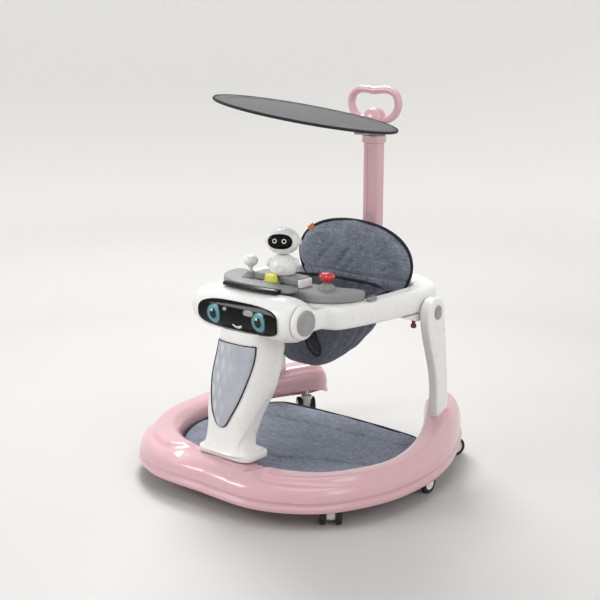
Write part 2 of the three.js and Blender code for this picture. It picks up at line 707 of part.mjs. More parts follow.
const COLLAR = { low: HANDLE_TOP + GAP, high: HANDLE_TOP + 18 };
const NECK = { halfX: 19, halfY: 15.5, high: HANDLE_TOP + 38 };

// The collar closes the column's top and carries a narrower neck for the sunshade clamp.
function handleCollar() {
  const collar = slab(shapeOf(squircle(24, 20.5, 4, 16)), COLLAR.low, COLLAR.high, 2);
  const neck = slab(shapeOf(squircle(NECK.halfX, NECK.halfY, 4, 16)), COLLAR.high - 4, NECK.high);
  return geometryOf(joined(solid(collar), solid(neck)).translate(0, HANDLE_Y, 0));
}

const DOME_LOW = NECK.high + GAP;

function handleDome() {
  const rows = [[DOME_LOW, 24, 20], [DOME_LOW + 16, 25, 21], [DOME_LOW + 28, 22, 18],
    [DOME_LOW + 37, 14, 12], [DOME_LOW + 40, 5, 4]];
  const rings = rows.map(([z, halfX, halfY]) => flatRing(squircle(halfX, halfY, 2.4, 18), 0, HANDLE_Y, z));
  const hole = solid(rodX(9.6, -40, 40, HANDLE_Y, DOME_LOW + 12, 12));
  return geometryOf(solid(loft(rings)).subtract(hole));
}

function handleGrip() {
  const z = DOME_LOW + 12;
  const half = [[0, z], [22, z], [42, z + 5], [57, z + 17], [64, z + 36], [58, z + 56], [41, z + 66],
    [20, z + 67]];
  const loop = [
    ...half, [0, z + 64.5], ...half.slice(1).reverse().map(([x, height]) => [-x, height]),
  ].map(([x, height]) => at(x, HANDLE_Y, height));
  return tube(loop, 8.5, 8, 30, true);
}

const CLAMP = { low: COLLAR.high + GAP, high: NECK.high - 1 };
const PIVOT = { x: 0, y: HANDLE_Y - 38, z: (CLAMP.low + CLAMP.high) / 2 };

function canopyClamp() {
  const outer = slab(shapeOf(squircle(25, 22, 4, 16)), CLAMP.low, CLAMP.high, 2).translate(0, HANDLE_Y, 0);
  const lug = new THREE.BoxGeometry(12, 22, 14).translate(0, PIVOT.y + 9, PIVOT.z);
  const eye = rodX(8, -6, 6, PIVOT.y, PIVOT.z, 14);
  const bore = solid(slab(shapeOf(squircle(NECK.halfX + GAP, NECK.halfY + GAP, 4, 16)), 600, 800)
    .translate(0, HANDLE_Y, 0));
  const pinHole = solid(rodX(3.6, -20, 20, PIVOT.y, PIVOT.z, 10));
  return geometryOf(cutFrom(joined(solid(outer), solid(lug), solid(eye)), bore, pinHole));
}

const clampScrew = () => rodX(7, 25.5, 34, HANDLE_Y, PIVOT.z, 16);

// The arm is made about the clamp's pin. Its beam runs close under the shade to its middle.
function canopyArm() {
  const fork = [1, -1].map((side) => solid(
    new THREE.BoxGeometry(5, 22, 13).translate(side * 9.5, -8, 0),
  ));
  const yoke = solid(new THREE.BoxGeometry(24, 8, 13).translate(0, -18, 1));
  const knuckles = [1, -1].map((side) => solid(rodX(7.5, side * 7, side * 12, 0, 0, 12)));
  const pin = solid(rodX(3, -12, 12, 0, 0, 10));
  const beamLine = new THREE.CatmullRomCurve3(
    [at(0, -16, 3), at(0, -37, 17), at(0, -62, 25), at(0, -97, 30), at(0, -205, 39)],
  );
  const beam = solid(new THREE.ExtrudeGeometry(new THREE.Shape(squircle(9, 3.5, 4, 8)), {
    steps: 9, extrudePath: beamLine, bevelEnabled: false,
  }));
  return geometryOf(joined(...fork, ...knuckles, pin, yoke, beam));
}

// The round shade with a thin crowned panel and a fatter rim.
function canopyPanel() {
  const profile = [[0, -1], [SHADE_RADIUS - 12, -3], [SHADE_RADIUS - 4, -4], [SHADE_RADIUS, -0.5],
    [SHADE_RADIUS - 4, 3.5], [SHADE_RADIUS - 12, 3], [0, 7]];
  return turned(profile, 36, 0, 0);
}

// ---- casters ----

function casterFork() {
  const outline = new THREE.Shape();
  outline.absarc(CASTER_TRAIL, WHEEL_RADIUS, 13, -Math.PI * 0.75, Math.PI * 0.25, false);
  outline.lineTo(15, CASTER_TOP - 4);
  outline.lineTo(15, CASTER_TOP - GAP);
  outline.lineTo(-12, CASTER_TOP - GAP);
  outline.lineTo(-12, CASTER_TOP - 10);
  outline.closePath();
  const body = slab(outline, -CASTER_CORE / 2, CASTER_CORE / 2).rotateX(Math.PI / 2);
  const topDisc = rodZ(13.5, 0, 0, CASTER_TOP - 4, CASTER_TOP - GAP, 10);
  const stem = rodZ(4, 0, 0, CASTER_TOP - 8, CASTER_TOP + 22, 8);
  const axleHole = rod(3.8, at(CASTER_TRAIL, -20, WHEEL_RADIUS), at(CASTER_TRAIL, 20, WHEEL_RADIUS), 8);
  return geometryOf(cutFrom(joined(solid(body), solid(topDisc), solid(stem)), solid(axleHole)));
}

// Two wheels on one axle, turned about it.
function casterWheels() {
  const inner = CASTER_CORE / 2 + 0.8;
  const outer = inner + WHEEL_WIDTH;
  const half = [[3, inner], [WHEEL_RADIUS, inner], [WHEEL_RADIUS, outer], [0, outer]];
  const mirror = half.slice().reverse().map(([r, x]) => [r, -x]);
  return new THREE.LatheGeometry([...mirror, ...half].map(([r, x]) => new THREE.Vector2(r, x)), 16);
}

function caster([, x, y, heading], fork, wheels) {
  const group = new THREE.Group();
  group.position.set(x, y, 0);
  group.rotation.z = THREE.MathUtils.degToRad(heading);
  wheels.position.set(CASTER_TRAIL, 0, WHEEL_RADIUS);
  group.add(fork, wheels);
  return group;
}

// ---- assembly ----

const walker = new THREE.Group();
const sides = [['left', 1], ['right', -1]];

walker.add(
  node('base_ring', baseRing(), PINK),
  node('foot_mat', footMat(), DENIM),
  node('column_foot_plate', footPlate(), WHITE),
  node('front_column', frontColumn(), WHITE),
  node('column_panel', columnPanel(), GREY),
  node('head_shell', headShell(), WHITE),
  node('visor', visor(), BLACK),
  node('smile', smile(), WHITE),
  node('pivot_rod', pivotRod(), STEEL),
  node('tray_ring', trayRing(), WHITE),
  node('handle_socket', handleSocket(), WHITE),
  node('seat_back', seatBack(), DENIM),
  node('seat_sling', seatSling(), DENIM),
  node('play_tray', playTray(), GREY),
  node('tray_strip', trayStrip(), BLACK),
  node('toy_block', toyBlock(), GREY),
  node('yellow_key', yellowKey(), YELLOW),
  node('lever_dome', dome(LEVER.x, LEVER.y, 5), GREY),
  node('lever_knob', leverKnob(), WHITE),
  node('red_knob_dome', dome(KNOB.x, KNOB.y, 6), GREY),
  node('red_knob', redKnob(), RED),
  node('robot_body', robotBody(), WHITE),
  node('handle_column', handleColumn(), PINK),
  node('handle_collar', handleCollar(), PINK),
  node('handle_dome', handleDome(), PINK),
  node('handle_grip', handleGrip(), PINK),
  node('canopy_clamp', canopyClamp(), GREY),
  node('clamp_screw', clampScrew(), GREY),
);

for (const [name, side] of sides) {
  walker.add(
    node(`eye_${name}`, eye(side), TEAL),
    node(`head_cap_${name}`, headCap(side), GREY),
    node(`rear_leg_${name}`, rearLeg(side), WHITE),
    node(`pivot_cap_${name}`, pivotCap(side), GREY),
    node(`leg_bracket_${name}`, legBracket(side), GREY),
    node(`release_button_${name}`, releaseButton(side), DARK_RED),
    node(`tray_clip_${name}`, trayClip(side), GREY),
  );
}

const robotTurn = new THREE.Group();
robotTurn.position.set(ROBOT.x, ROBOT.y, ROBOT.neck);
robotTurn.rotation.z = THREE.MathUtils.degToRad(ROBOT.turn);
robotTurn.add(node('robot_head', robotHead(), WHITE), node('robot_face', robotFace(), BLACK));
walker.add(robotTurn);

const arm = node('canopy_arm', canopyArm(), GREY);
arm.position.set(PIVOT.x, PIVOT.y, PIVOT.z);
const shade = node('canopy_panel', canopyPanel(), SHADE);
shade.position.set(SHADE_CENTRE.x, SHADE_CENTRE.y, SHADE_CENTRE.z);
shade.rotation.set(THREE.MathUtils.degToRad(SHADE_PITCH), THREE.MathUtils.degToRad(SHADE_ROLL), 0);
walker.add(arm, shade);

for (const row of CASTERS) {
  const fork = node(`caster_${row[0]}_fork`, casterFork(), WHITE);
  const wheels = node(`caster_${row[0]}_wheels`, casterWheels(), RUBBER);
  walker.add(caster(row, fork, wheels));
}

export default walker;
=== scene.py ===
import json
import math

import bmesh
import bpy
import numpy as np
from mathutils import Matrix, Vector, noise


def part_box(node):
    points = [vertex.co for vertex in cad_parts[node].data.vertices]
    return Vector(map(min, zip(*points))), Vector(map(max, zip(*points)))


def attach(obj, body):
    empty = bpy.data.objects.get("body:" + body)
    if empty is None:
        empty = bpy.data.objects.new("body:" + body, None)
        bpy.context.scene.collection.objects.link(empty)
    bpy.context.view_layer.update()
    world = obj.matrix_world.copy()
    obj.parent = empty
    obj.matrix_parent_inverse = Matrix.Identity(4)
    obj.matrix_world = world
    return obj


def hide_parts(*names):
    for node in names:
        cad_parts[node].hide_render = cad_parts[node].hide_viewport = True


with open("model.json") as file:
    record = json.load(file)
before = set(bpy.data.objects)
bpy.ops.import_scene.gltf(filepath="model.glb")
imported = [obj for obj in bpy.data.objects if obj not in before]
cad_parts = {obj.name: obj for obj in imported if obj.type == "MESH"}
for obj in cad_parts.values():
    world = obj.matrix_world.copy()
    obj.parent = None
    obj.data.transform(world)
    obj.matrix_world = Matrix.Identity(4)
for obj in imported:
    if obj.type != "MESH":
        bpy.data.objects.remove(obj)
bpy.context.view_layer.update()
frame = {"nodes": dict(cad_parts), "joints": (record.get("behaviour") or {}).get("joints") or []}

MM = 0.001
SIDES = ((1, "left"), (-1, "right"))
JOINTS = {j["name"]: j for j in frame["joints"]}
NODES = frame["nodes"]


# ---------------------------------------------------------------- small maths


def smoothstep(low, high, value):
    """0 below low, 1 above high, and a soft rise between them."""
    t = min(max((value - low) / (high - low), 0.0), 1.0)
    return t * t * (3 - 2 * t)


def circle(count):
    """count angles, spaced evenly round a full turn."""
    return np.arange(count) / count * math.tau


def catmull(rows, count, closed=False):
    """Rows of numbers read as smooth curves: count rows along them."""
    rows = np.array(rows, float)
    n = len(rows)
    out = []
    for i in range(count):
        t = i / count * n if closed else i / (count - 1) * (n - 1)
        k = int(t) if closed else min(int(t), n - 2)
        f = t - k
        if closed:
            p0, p1, p2, p3 = (rows[(k + d) % n] for d in (-1, 0, 1, 2))
        else:
            p0, p1, p2, p3 = rows[max(k - 1, 0)], rows[k], rows[k + 1], rows[min(k + 2, n - 1)]
        v0, v1 = (p2 - p0) / 2, (p3 - p1) / 2
        out.append((2 * p1 - 2 * p2 + v0 + v1) * f**3 + (-3 * p1 + 3 * p2 - 2 * v0 - v1) * f**2 + v0 * f + p1)
    return np.array(out)


def squircle(half_u, half_v, power, count):
    """A rounded box outline; power 2 is an ellipse and higher powers are squarer."""
    points = []
    for a in circle(count):
        c, s = math.cos(a), math.sin(a)
        u = math.copysign(abs(c) ** (2 / power), c)
        v = math.copysign(abs(s) ** (2 / power), s)
        points.append((half_u * u, half_v * v))
    return points


def even(points, count, closed=True):
    """The same line with count points spaced evenly along it."""
    pts = np.array(points, float)
    if closed:
        pts = np.vstack([pts, pts[:1]])
    along = np.concatenate([[0], np.cumsum(np.linalg.norm(np.diff(pts, axis=0), axis=1))])
    at = np.linspace(0, along[-1], count + 1)[:-1] if closed else np.linspace(0, along[-1], count)
    return np.stack([np.interp(at, along, pts[:, k]) for k in range(pts.shape[1])], axis=1)


# ---------------------------------------------------------------- mesh helpers


def finish_mesh(name, mesh, material, sharp):
    """Welds a mesh, turns its faces out, shades it smooth up to the sharp angle and makes it a piece."""
    bm = bmesh.new()
    bm.from_mesh(mesh)
    bmesh.ops.remove_doubles(bm, verts=bm.verts, dist=1e-6)
    bmesh.ops.recalc_face_normals(bm, faces=bm.faces)
    bm.to_mesh(mesh)
    bm.free()
    mesh.shade_smooth()
    mesh.set_sharp_from_angle(angle=math.radians(sharp))
    obj = bpy.data.objects.new(name, mesh)
    bpy.context.scene.collection.objects.link(obj)
    mesh.materials.append(material)
    return obj


def loft(name, rings, material, ends="fan", sharp=40):
    """A skin through closed rings of points. ends is fan for capped ends, loop where the last ring meets
    the first, and open for neither."""
    count = len(rings[0])
    verts = [p for ring in rings for p in ring]
    faces = []
    spans = len(rings) if ends == "loop" else len(rings) - 1
    for i in range(spans):
        k = (i + 1) % len(rings)
        for j in range(count):
            m = (j + 1) % count
            faces.append((i * count + j, i * count + m, k * count + m, k * count + j))
    if ends == "fan":
        for first in (0, (len(rings) - 1) * count):
            verts.append(np.mean([verts[first + j] for j in range(count)], axis=0))
            for j in range(count):
                faces.append((first + j, first + (j + 1) % count, len(verts) - 1))
    mesh = bpy.data.meshes.new(name)
    mesh.from_pydata([tuple(v) for v in verts], [], faces)
    return finish_mesh(name, mesh, material, sharp)


def basis(axis):
    """The axis as a unit vector, and two more square to it."""
    axis = Vector(axis).normalized()
    side = axis.orthogonal().normalized()
    if abs(axis.z) < 0.9:
        side = axis.cross(Vector((0, 0, 1))).normalized()
    return axis, side, axis.cross(side).normalized()


def lathe(name, profile, centre, axis, material, sides, sharp=35):
    """A turned piece: profile rows are radius and place along the axis, from axis to axis or closed."""
    along, u, v = basis(axis)
    centre = Vector(centre)
    rings = []
    for r, h in profile:
        rings.append([centre + along * h + (u * math.cos(a) + v * math.sin(a)) * max(r, 1e-5)
                      for a in circle(sides)])
    ends = "loop" if profile[0] == profile[-1] else "fan"
    return loft(name, rings[:-1] if ends == "loop" else rings, material, ends, sharp)


def sweep(name, path, section, material, closed=False, up=(0, 0, 1), sharp=40):
    """A flat section, a list of (side, up), carried along a path."""
    path = [Vector(p) for p in path]
    rings = []
    n = len(path)
    for i, p in enumerate(path):
        a = path[(i - 1) % n] if closed else path[max(i - 1, 0)]
        b = path[(i + 1) % n] if closed else path[min(i + 1, n - 1)]
        along = (b - a).normalized()
        side = along.cross(Vector(up)).normalized()
        top = side.cross(along).normalized()
        rings.append([p + side * s[0] + top * s[1] for s in section])
    return loft(name, rings, material, "loop" if closed else "fan", sharp)


def plate(name, outline, low, high, bevel, material, plane="XY", segments=3):
    """A flat outline with thickness and rounded rims. plane says which axes the outline lies in."""
    bm = bmesh.new()
    place = {
        "XY": lambda u, v, w: (u, v, w),
        "XZ": lambda u, v, w: (u, w, v),
        "YZ": lambda u, v, w: (w, u, v),
    }[plane]
    bottom = [bm.verts.new(place(u, v, low)) for u, v in outline]
    face = bm.faces.new(bottom)
    top = bmesh.ops.extrude_face_region(bm, geom=[face])
    lifted = [g for g in top["geom"] if isinstance(g, bmesh.types.BMVert)]
    shift = Vector(place(0, 0, high)) - Vector(place(0, 0, low))
    bmesh.ops.translate(bm, vec=shift, verts=lifted)
    bmesh.ops.recalc_face_normals(bm, faces=bm.faces)
    if bevel > 0:
        caps = sorted(bm.faces, key=lambda f: -len(f.verts))[:2]
        edges = list({e for f in caps for e in f.edges})
        bmesh.ops.bevel(bm, geom=edges, offset=bevel, segments=segments, profile=0.5, affect="EDGES",
                        clamp_overlap=True)
    mesh = bpy.data.meshes.new(name)
    bm.to_mesh(mesh)
    bm.free()
    return finish_mesh(name, mesh, material, 30)


def joined(name, parts):
    """Several objects as one, with their materials kept."""
    bm = bmesh.new()
    slots = []
    for part in parts:
        start = len(bm.faces)
        bm.from_mesh(part.data)
        bm.faces.ensure_lookup_table()
        local = list(part.data.materials)
        for m in local:
            if m not in slots:
                slots.append(m)
        for f in bm.faces[start:]:
            f.material_index = slots.index(local[min(f.material_index, len(local) - 1)])
    mesh = bpy.data.meshes.new(name)
    bm.to_mesh(mesh)
    bm.free()
    for part in parts:
        bpy.data.objects.remove(part)
    for m in slots:
        mesh.materials.append(m)
    obj = bpy.data.objects.new(name, mesh)
    bpy.context.scene.collection.objects.link(obj)
    return obj


def apply_all(obj):
    """Applies the modifiers that obj has now."""
    graph = bpy.context.evaluated_depsgraph_get()
    mesh = bpy.data.meshes.new_from_object(obj.evaluated_get(graph))
    old = obj.data
    obj.modifiers.clear()
    obj.data = mesh
    bpy.data.meshes.remove(old)
    return obj


def cut(obj, tool):
    """Takes tool away from obj."""
    m = obj.modifiers.new("cut", "BOOLEAN")
    m.operation, m.object, m.solver = "DIFFERENCE", tool, "EXACT"
    apply_all(obj)
    bpy.data.objects.remove(tool)
    obj.data.set_sharp_from_angle(angle=math.radians(35))
    return obj


def fused(obj, voxel, smooth):
    """One skin around overlapping forms, with soft blends where they meet."""
    m = obj.modifiers.new("remesh", "REMESH")
    m.mode, m.voxel_size, m.use_smooth_shade = "VOXEL", voxel, True
    s = obj.modifiers.new("smooth", "SMOOTH")
    s.factor, s.iterations = 0.5, smooth
    return apply_all(obj)


def coords(obj):
    """The mesh's points, one row each."""
    co = np.zeros(len(obj.data.vertices) * 3)
    obj.data.vertices.foreach_get("co", co)
    return co.reshape(-1, 3)


def normals(obj):
    """The mesh's point normals, one row each."""
    rows = np.zeros(len(obj.data.vertices) * 3)
    obj.data.vertices.foreach_get("normal", rows)
    return rows.reshape(-1, 3)


def set_coords(obj, co):
    """Moves the mesh's points to the rows in co."""
    obj.data.vertices.foreach_set("co", np.asarray(co, np.float32).ravel())
    obj.data.update()


def flat_uv(obj, project):
    """A UV map in metres from each point's place, for cloth weaves."""
    co = coords(obj)
    uv = np.array([project(*p) for p in co])
    layer = obj.data.uv_layers.new(name="cloth") if not obj.data.uv_layers else obj.data.uv_layers[0]
    corner = np.zeros(len(obj.data.loops), np.int32)
    obj.data.loops.foreach_get("vertex_index", corner)
    layer.data.foreach_set("uv", uv[corner].astype(np.float32).ravel())
    return obj


def hand_over(obj, body, slot, *nodes):
    """Rides a finished piece on its body and hides the nodes that it stands for; slot is not used."""
    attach(obj, body)
    if nodes:
        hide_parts(*nodes)
    return obj


# ---------------------------------------------------------------- materials


class Finish:
    """A node material, with short calls for its nodes."""

    def __init__(self, name, color, rough, **sockets):
        self.material = bpy.data.materials.new(name)
        self.material.use_nodes = True
        self.tree = self.material.node_tree
        self.shader = self.tree.nodes["Principled BSDF"]
        self.shader.inputs["Base Color"].default_value = (*color, 1.0)
        self.shader.inputs["Roughness"].default_value = rough
        for key, value in sockets.items():
            self.shader.inputs[key.replace("_", " ")].default_value = value

    def add(self, kind, values=None, **settings):
        n = self.tree.nodes.new("ShaderNode" + kind)
        for key, value in settings.items():
            setattr(n, key, value)
        for key, value in (values or {}).items():
            if isinstance(value, bpy.types.NodeSocket):
                self.tree.links.new(value, n.inputs[key])
            else:
                n.inputs[key].default_value = value
        return n

    def place(self, source="Object", scale=(1, 1, 1)):
        where = self.add("TexCoord").outputs[source]
        return self.add("Mapping", {"Vector": where, "Scale": scale}).outputs[0]

    def noise(self, where, scale, detail=3.0, rough=0.5):
        n = self.add("TexNoise", {"Vector": where, "Scale": scale, "Detail": detail, "Roughness": rough})
        return n.outputs["Fac"]

    def spread(self, value, low, high, to_low=0.0, to_high=1.0):
        n = self.add("MapRange", {"Value": value, "From Min": low, "From Max": high, "To Min": to_low,
                                  "To Max": to_high})
        return n.outputs[0]

    def math(self, operation, a, b=0.0):
        return self.add("Math", {0: a, 1: b}, operation=operation).outputs[0]

    def times(self, a, b):
        return self.math("MULTIPLY", a, b)

    def plus(self, a, b):
        return self.math("ADD", a, b)

    def wave(self, value):
        return self.math("SINE", value)

    def split(self, where):
        return self.add("SeparateXYZ", {"Vector": where}).outputs

    def mix(self, share, a, b, blend="MIX"):
        n = self.add("Mix", {0: share, 6: a, 7: b}, data_type="RGBA", blend_type=blend)
        return n.outputs[2]

    def paint(self, socket, name="Base Color"):
        self.tree.links.new(socket, self.shader.inputs[name])

    def bump(self, height, distance, strength):
        b = self.add("Bump", {"Height": height, "Distance": distance, "Strength": strength})
        self.paint(b.outputs[0], "Normal")


def shade(color, factor):
    """The colour made lighter or darker, with its alpha."""
    return tuple(min(c * factor, 1.0) for c in color[:3]) + (1.0,)


def plastic(name, color, rough, coat=0.0, tint=0.05, peel=0.25, wear=0.5, level=0.5):
    """Moulded plastic: faint flow marks, orange peel, smudges, and paler rubbed edges."""
    f = Finish(name, color, rough, Coat_Weight=coat, Coat_Roughness=0.06, Specular_IOR_Level=level)
    where = f.place()
    flow = f.spread(f.noise(where, 9.0, 4.0), 0.3, 0.7)
    body = f.mix(flow, shade(color, 1 - tint), shade(color, 1 + tint))
    edge = f.spread(f.add("NewGeometry").outputs["Pointiness"], 0.53, 0.6, 0.0, wear)
    f.paint(f.mix(edge, body, shade(color, 1.12)))
    smudge = f.spread(f.noise(where, 38.0, 5.0, 0.65), 0.35, 0.7, rough * 0.94, rough * 1.1)
    f.paint(smudge, "Roughness")
    grain = f.noise(where, 260.0, 2.0)
    f.bump(grain, 0.00003, peel)
    return f.material


def grained(name, color, rough):
    """Satin plastic with a fine etched texture."""
    f = Finish(name, color, rough)
    where = f.place()
    flow = f.spread(f.noise(where, 14.0, 4.0), 0.3, 0.7)
    cells = f.add("TexVoronoi", {"Vector": where, "Scale": 1400.0}).outputs["Distance"]
    body = f.mix(flow, shade(color, 0.93), shade(color, 1.05))
    edge = f.spread(f.add("NewGeometry").outputs["Pointiness"], 0.53, 0.6, 0.0, 0.5)
    f.paint(f.mix(edge, body, shade(color, 1.25)))
    f.paint(f.spread(f.noise(where, 60.0, 4.0), 0.3, 0.7, rough * 0.85, rough * 1.2), "Roughness")
    f.bump(cells, 0.00015, 0.5)
    return f.material


TWILL = 0.0011  # how far apart the denim's threads lie


def denim(name, dark, light):
    """Twill weave with slubs, faded patches and a soft sheen. Needs a UV map in metres."""
    f = Finish(name, light, 0.92, Sheen_Weight=0.25, Sheen_Roughness=0.5, Sheen_Tint=(0.8, 0.85, 0.95, 1))
    u, v, _ = f.split(f.place("UV"))
    step = math.pi / TWILL
    over = f.spread(f.wave(f.times(f.plus(u, v), step)), -0.3, 0.3)
    warp, weft = (f.math("ABSOLUTE", f.wave(f.times(line, step))) for line in (u, v))
    height = f.plus(f.times(warp, over), f.times(weft, f.math("SUBTRACT", 1.0, over)))
    slub_u = f.noise(f.place("UV", (60, 420, 1)), 1.0, 4.0, 0.65)
    slub_v = f.noise(f.place("UV", (380, 70, 1)), 1.0, 4.0, 0.65)
    slub = f.spread(f.plus(slub_u, slub_v), 0.83, 1.2)
    streak = f.noise(f.place("UV", (22, 150, 1)), 1.0, 4.0, 0.7)
    slub = f.times(slub, f.spread(streak, 0.34, 0.66, 0.45, 1.3))
    fade = f.spread(f.noise(f.place("UV", (14, 14, 1)), 1.0, 6.0, 0.65), 0.35, 0.68)
    base = f.mix(slub, (*dark, 1), (*light, 1))
    base = f.mix(f.spread(over, 0, 1, 0.0, 0.28), base, shade(light, 1.35))
    f.paint(f.mix(f.times(fade, 0.4), base, shade(light, 1.12)))
    f.bump(f.plus(height, f.times(slub, 1.5)), 0.0004, 0.8)
    return f.material


def woven(name, color, thread=0.0009):
    """Plain weave polyester, slightly uneven, with a soft sheen. Needs a UV map in metres."""
    f = Finish(name, color, 0.9, Sheen_Weight=0.05, Sheen_Roughness=0.4, Specular_IOR_Level=0.2)
    u, v, _ = f.split(f.place("UV"))
    step = math.pi / thread
    over = f.spread(f.times(f.wave(f.times(u, step)), f.wave(f.times(v, step))), -0.4, 0.4)
    streak = f.noise(f.place("UV", (30, 700, 1)), 1.0, 4.0, 0.6)
    cross = f.noise(f.place("UV", (700, 30, 1)), 1.0, 4.0, 0.6)
    slub = f.spread(f.plus(streak, cross), 0.8, 1.2)
    base = f.mix(slub, shade(color, 0.78), shade(color, 1.2))
    fade = f.spread(f.noise(f.place("UV", (9, 9, 1)), 1.0, 5.0), 0.3, 0.7, 0.0, 0.3)
    f.paint(f.mix(fade, base, shade(color, 1.18)))
    f.bump(f.plus(over, slub), 0.0003, 0.7)
    return f.material


def rubber(name, color):
    """Matt rubber with a little dust."""
    f = Finish(name, color, 0.6)
    where = f.place()
    dust = f.spread(f.noise(where, 70.0, 5.0, 0.6), 0.45, 0.75, 0.0, 0.35)
    f.paint(f.mix(dust, (*color, 1), shade(color, 3.0)))
    f.paint(f.spread(f.noise(where, 160.0, 3.0), 0.3, 0.7, 0.5, 0.75), "Roughness")
    f.bump(f.noise(where, 700.0, 3.0), 0.0002, 0.4)
    return f.material


def steel(name):
    """Brushed steel, with its lines along X."""
    f = Finish(name, (0.7, 0.71, 0.72), 0.28, Metallic=1.0)
    lines = f.noise(f.place(scale=(2000, 40, 40)), 1.0, 3.0)
    f.paint(f.spread(lines, 0.3, 0.7, 0.2, 0.42), "Roughness")
    f.paint(f.mix(lines, (0.62, 0.63, 0.64, 1), (0.78, 0.79, 0.8, 1)))
    f.bump(lines, 0.00005, 0.3)
    return f.material


def tongue_finish(name):
    """Grey lacquer with a pale woven-diamond print that fades towards one side."""
    f = Finish(name, (0.42, 0.44, 0.49), 0.16, Coat_Weight=0.4, Coat_Roughness=0.05)
    where = f.place()
    x, _, z = f.split(where)
    lean = f.plus(x, f.times(z, 0.42))
    other = f.math("SUBTRACT", x, f.times(z, 0.3))
    first = f.spread(f.wave(f.times(lean, 330.0)), -0.1, 0.1)
    second = f.spread(f.wave(f.times(other, 300.0)), -0.1, 0.1)
    checks = f.times(first, second)
    side = f.spread(x, -0.03, 0.012, 0.75, 0.0)
    soft = f.spread(f.noise(where, 26.0, 3.0), 0.35, 0.65, 0.5, 1.0)
    share = f.times(f.times(checks, side), soft)
    flow = f.mix(f.spread(f.noise(where, 30.0, 4.0), 0.3, 0.7), (0.38, 0.4, 0.45, 1), (0.46, 0.48, 0.53, 1))
    f.paint(f.mix(share, flow, (0.66, 0.7, 0.78, 1)))
    f.paint(f.spread(f.noise(where, 50.0, 3.0), 0.3, 0.7, 0.12, 0.22), "Roughness")
    f.bump(f.noise(where, 500.0, 2.0), 0.0001, 0.2)
    return f.material


def iris_finish(name, centre):
    """Teal rings that go from a dark middle to a bright rim, with fine spokes."""
    f = Finish(name, (0.03, 0.35, 0.42), 0.12, Coat_Weight=1.0, Coat_Roughness=0.03)
    where = f.add("VectorMath", {0: f.place(), 1: centre}, operation="SUBTRACT").outputs[0]
    x, _, z = f.split(where)
    reach = f.math("SQRT", f.plus(f.times(x, x), f.times(z, z)))
    turn = f.math("ARCTAN2", z, x)
    ring = f.spread(reach, 0.006, 0.0155)
    spokes = f.spread(f.wave(f.times(turn, 44.0)), -1, 1, 0.75, 1.1)
    teal = f.mix(ring, (0.006, 0.04, 0.08, 1), (0.015, 0.27, 0.32, 1))
    upper = f.spread(z, -0.004, 0.014)
    teal = f.mix(f.times(upper, 0.45), teal, (0.16, 0.52, 0.52, 1))
    f.paint(f.mix(1.0, teal, spokes, "MULTIPLY"))
    return f.material


PINK = plastic("pink_gloss", (0.67, 0.405, 0.445), 0.22, coat=0.5, tint=0.02, wear=0.3)
WHITE = plastic("white_gloss", (0.83, 0.83, 0.82), 0.28, coat=0.3, tint=0.006, wear=0.0, peel=0.1)
GREY_GLOSS = plastic("grey_gloss", (0.3, 0.3, 0.3), 0.28, coat=0.4)
GREY = grained("grey_satin", (0.27, 0.275, 0.28), 0.38)
BLACK = plastic("black_gloss", (0.004, 0.004, 0.005), 0.12, tint=0.1, wear=0.0, level=0.3)
VISOR = plastic("visor_black", (0.002, 0.002, 0.003), 0.05, tint=0.1, peel=0.03, wear=0.0, level=0.16)
RED = plastic("red_gloss", (0.66, 0.02, 0.03), 0.16, coat=0.7)
DARK_RED = plastic("dark_red_gloss", (0.17, 0.012, 0.025), 0.25, coat=0.4)
YELLOW = plastic("yellow_gloss", (0.8, 0.75, 0.09), 0.2, coat=0.5)
RUBBER = rubber("wheel_rubber", (0.012, 0.012, 0.012))
STEEL = steel("steel")
DENIM = denim("denim", (0.028, 0.035, 0.053), (0.31, 0.345, 0.43))
DENIM_DARK = denim("denim_dark", (0.025, 0.03, 0.043), (0.15, 0.165, 0.21))
PIPING = woven("piping", (0.028, 0.03, 0.038), 0.0006)
THREAD = woven("thread", (0.34, 0.36, 0.4), 0.0003)
SHADE = woven("shade_fabric", (0.118, 0.118, 0.121))
# A near-black denim, used as painted shade inside the sling.
SLING_INSIDE_SHADE = denim("denim_painted_shade", (0.008, 0.01, 0.014), (0.035, 0.04, 0.052))
TAG = woven("tag_fabric", (0.62, 0.2, 0.06), 0.0005)
TEAL_DARK = plastic("teal_dark", (0.01, 0.07, 0.09), 0.15, coat=0.5, wear=0.0)
TONGUE = tongue_finish("tongue_lacquer")


# ---------------------------------------------------------------- base

# Half of the base ring from the front middle to the rear end: x, y, band width, top height, outer lip
# height, and how much higher the inner edge ends, in millimetres.
BASE_STATIONS = [
    (0, -259, 106, 92, 35, 12), (60, -261, 106, 90, 35, 12), (120, -258, 106, 88, 35, 12),
    (176, -238, 102, 88, 35, 12), (227, -201, 92, 89, 35, 12), (262, -148, 82, 90, 35.5, 12.5),
    (284, -88, 77, 92, 36, 13), (292, -28, 74, 95, 37, 15), (290, 34, 73, 100, 38, 19),
    (277, 98, 74, 108, 39.5, 25.5), (254, 160, 77, 119, 41, 32), (226, 216, 82, 130, 43, 34),
    (198, 262, 86, 136, 44, 35), (193, 270, 86, 136, 44, 35),
]
SHELL = 3.0  # the wall's thickness
HEM_HEIGHT = 16  # the shell's lowest rows, which keep their height inside
PANEL_LIFT, GROOVE_DEPTH, TROUGH_DEPTH, CROWN_LIFT = 6.0, 2.4, 5.0, 4.5
REAR_STEP = 655.0  # where the raised rear end begins, measured along the band
STEP_START, STEP_END = 92.0, 480.0  # where along the band, from the front middle, the raised panel runs


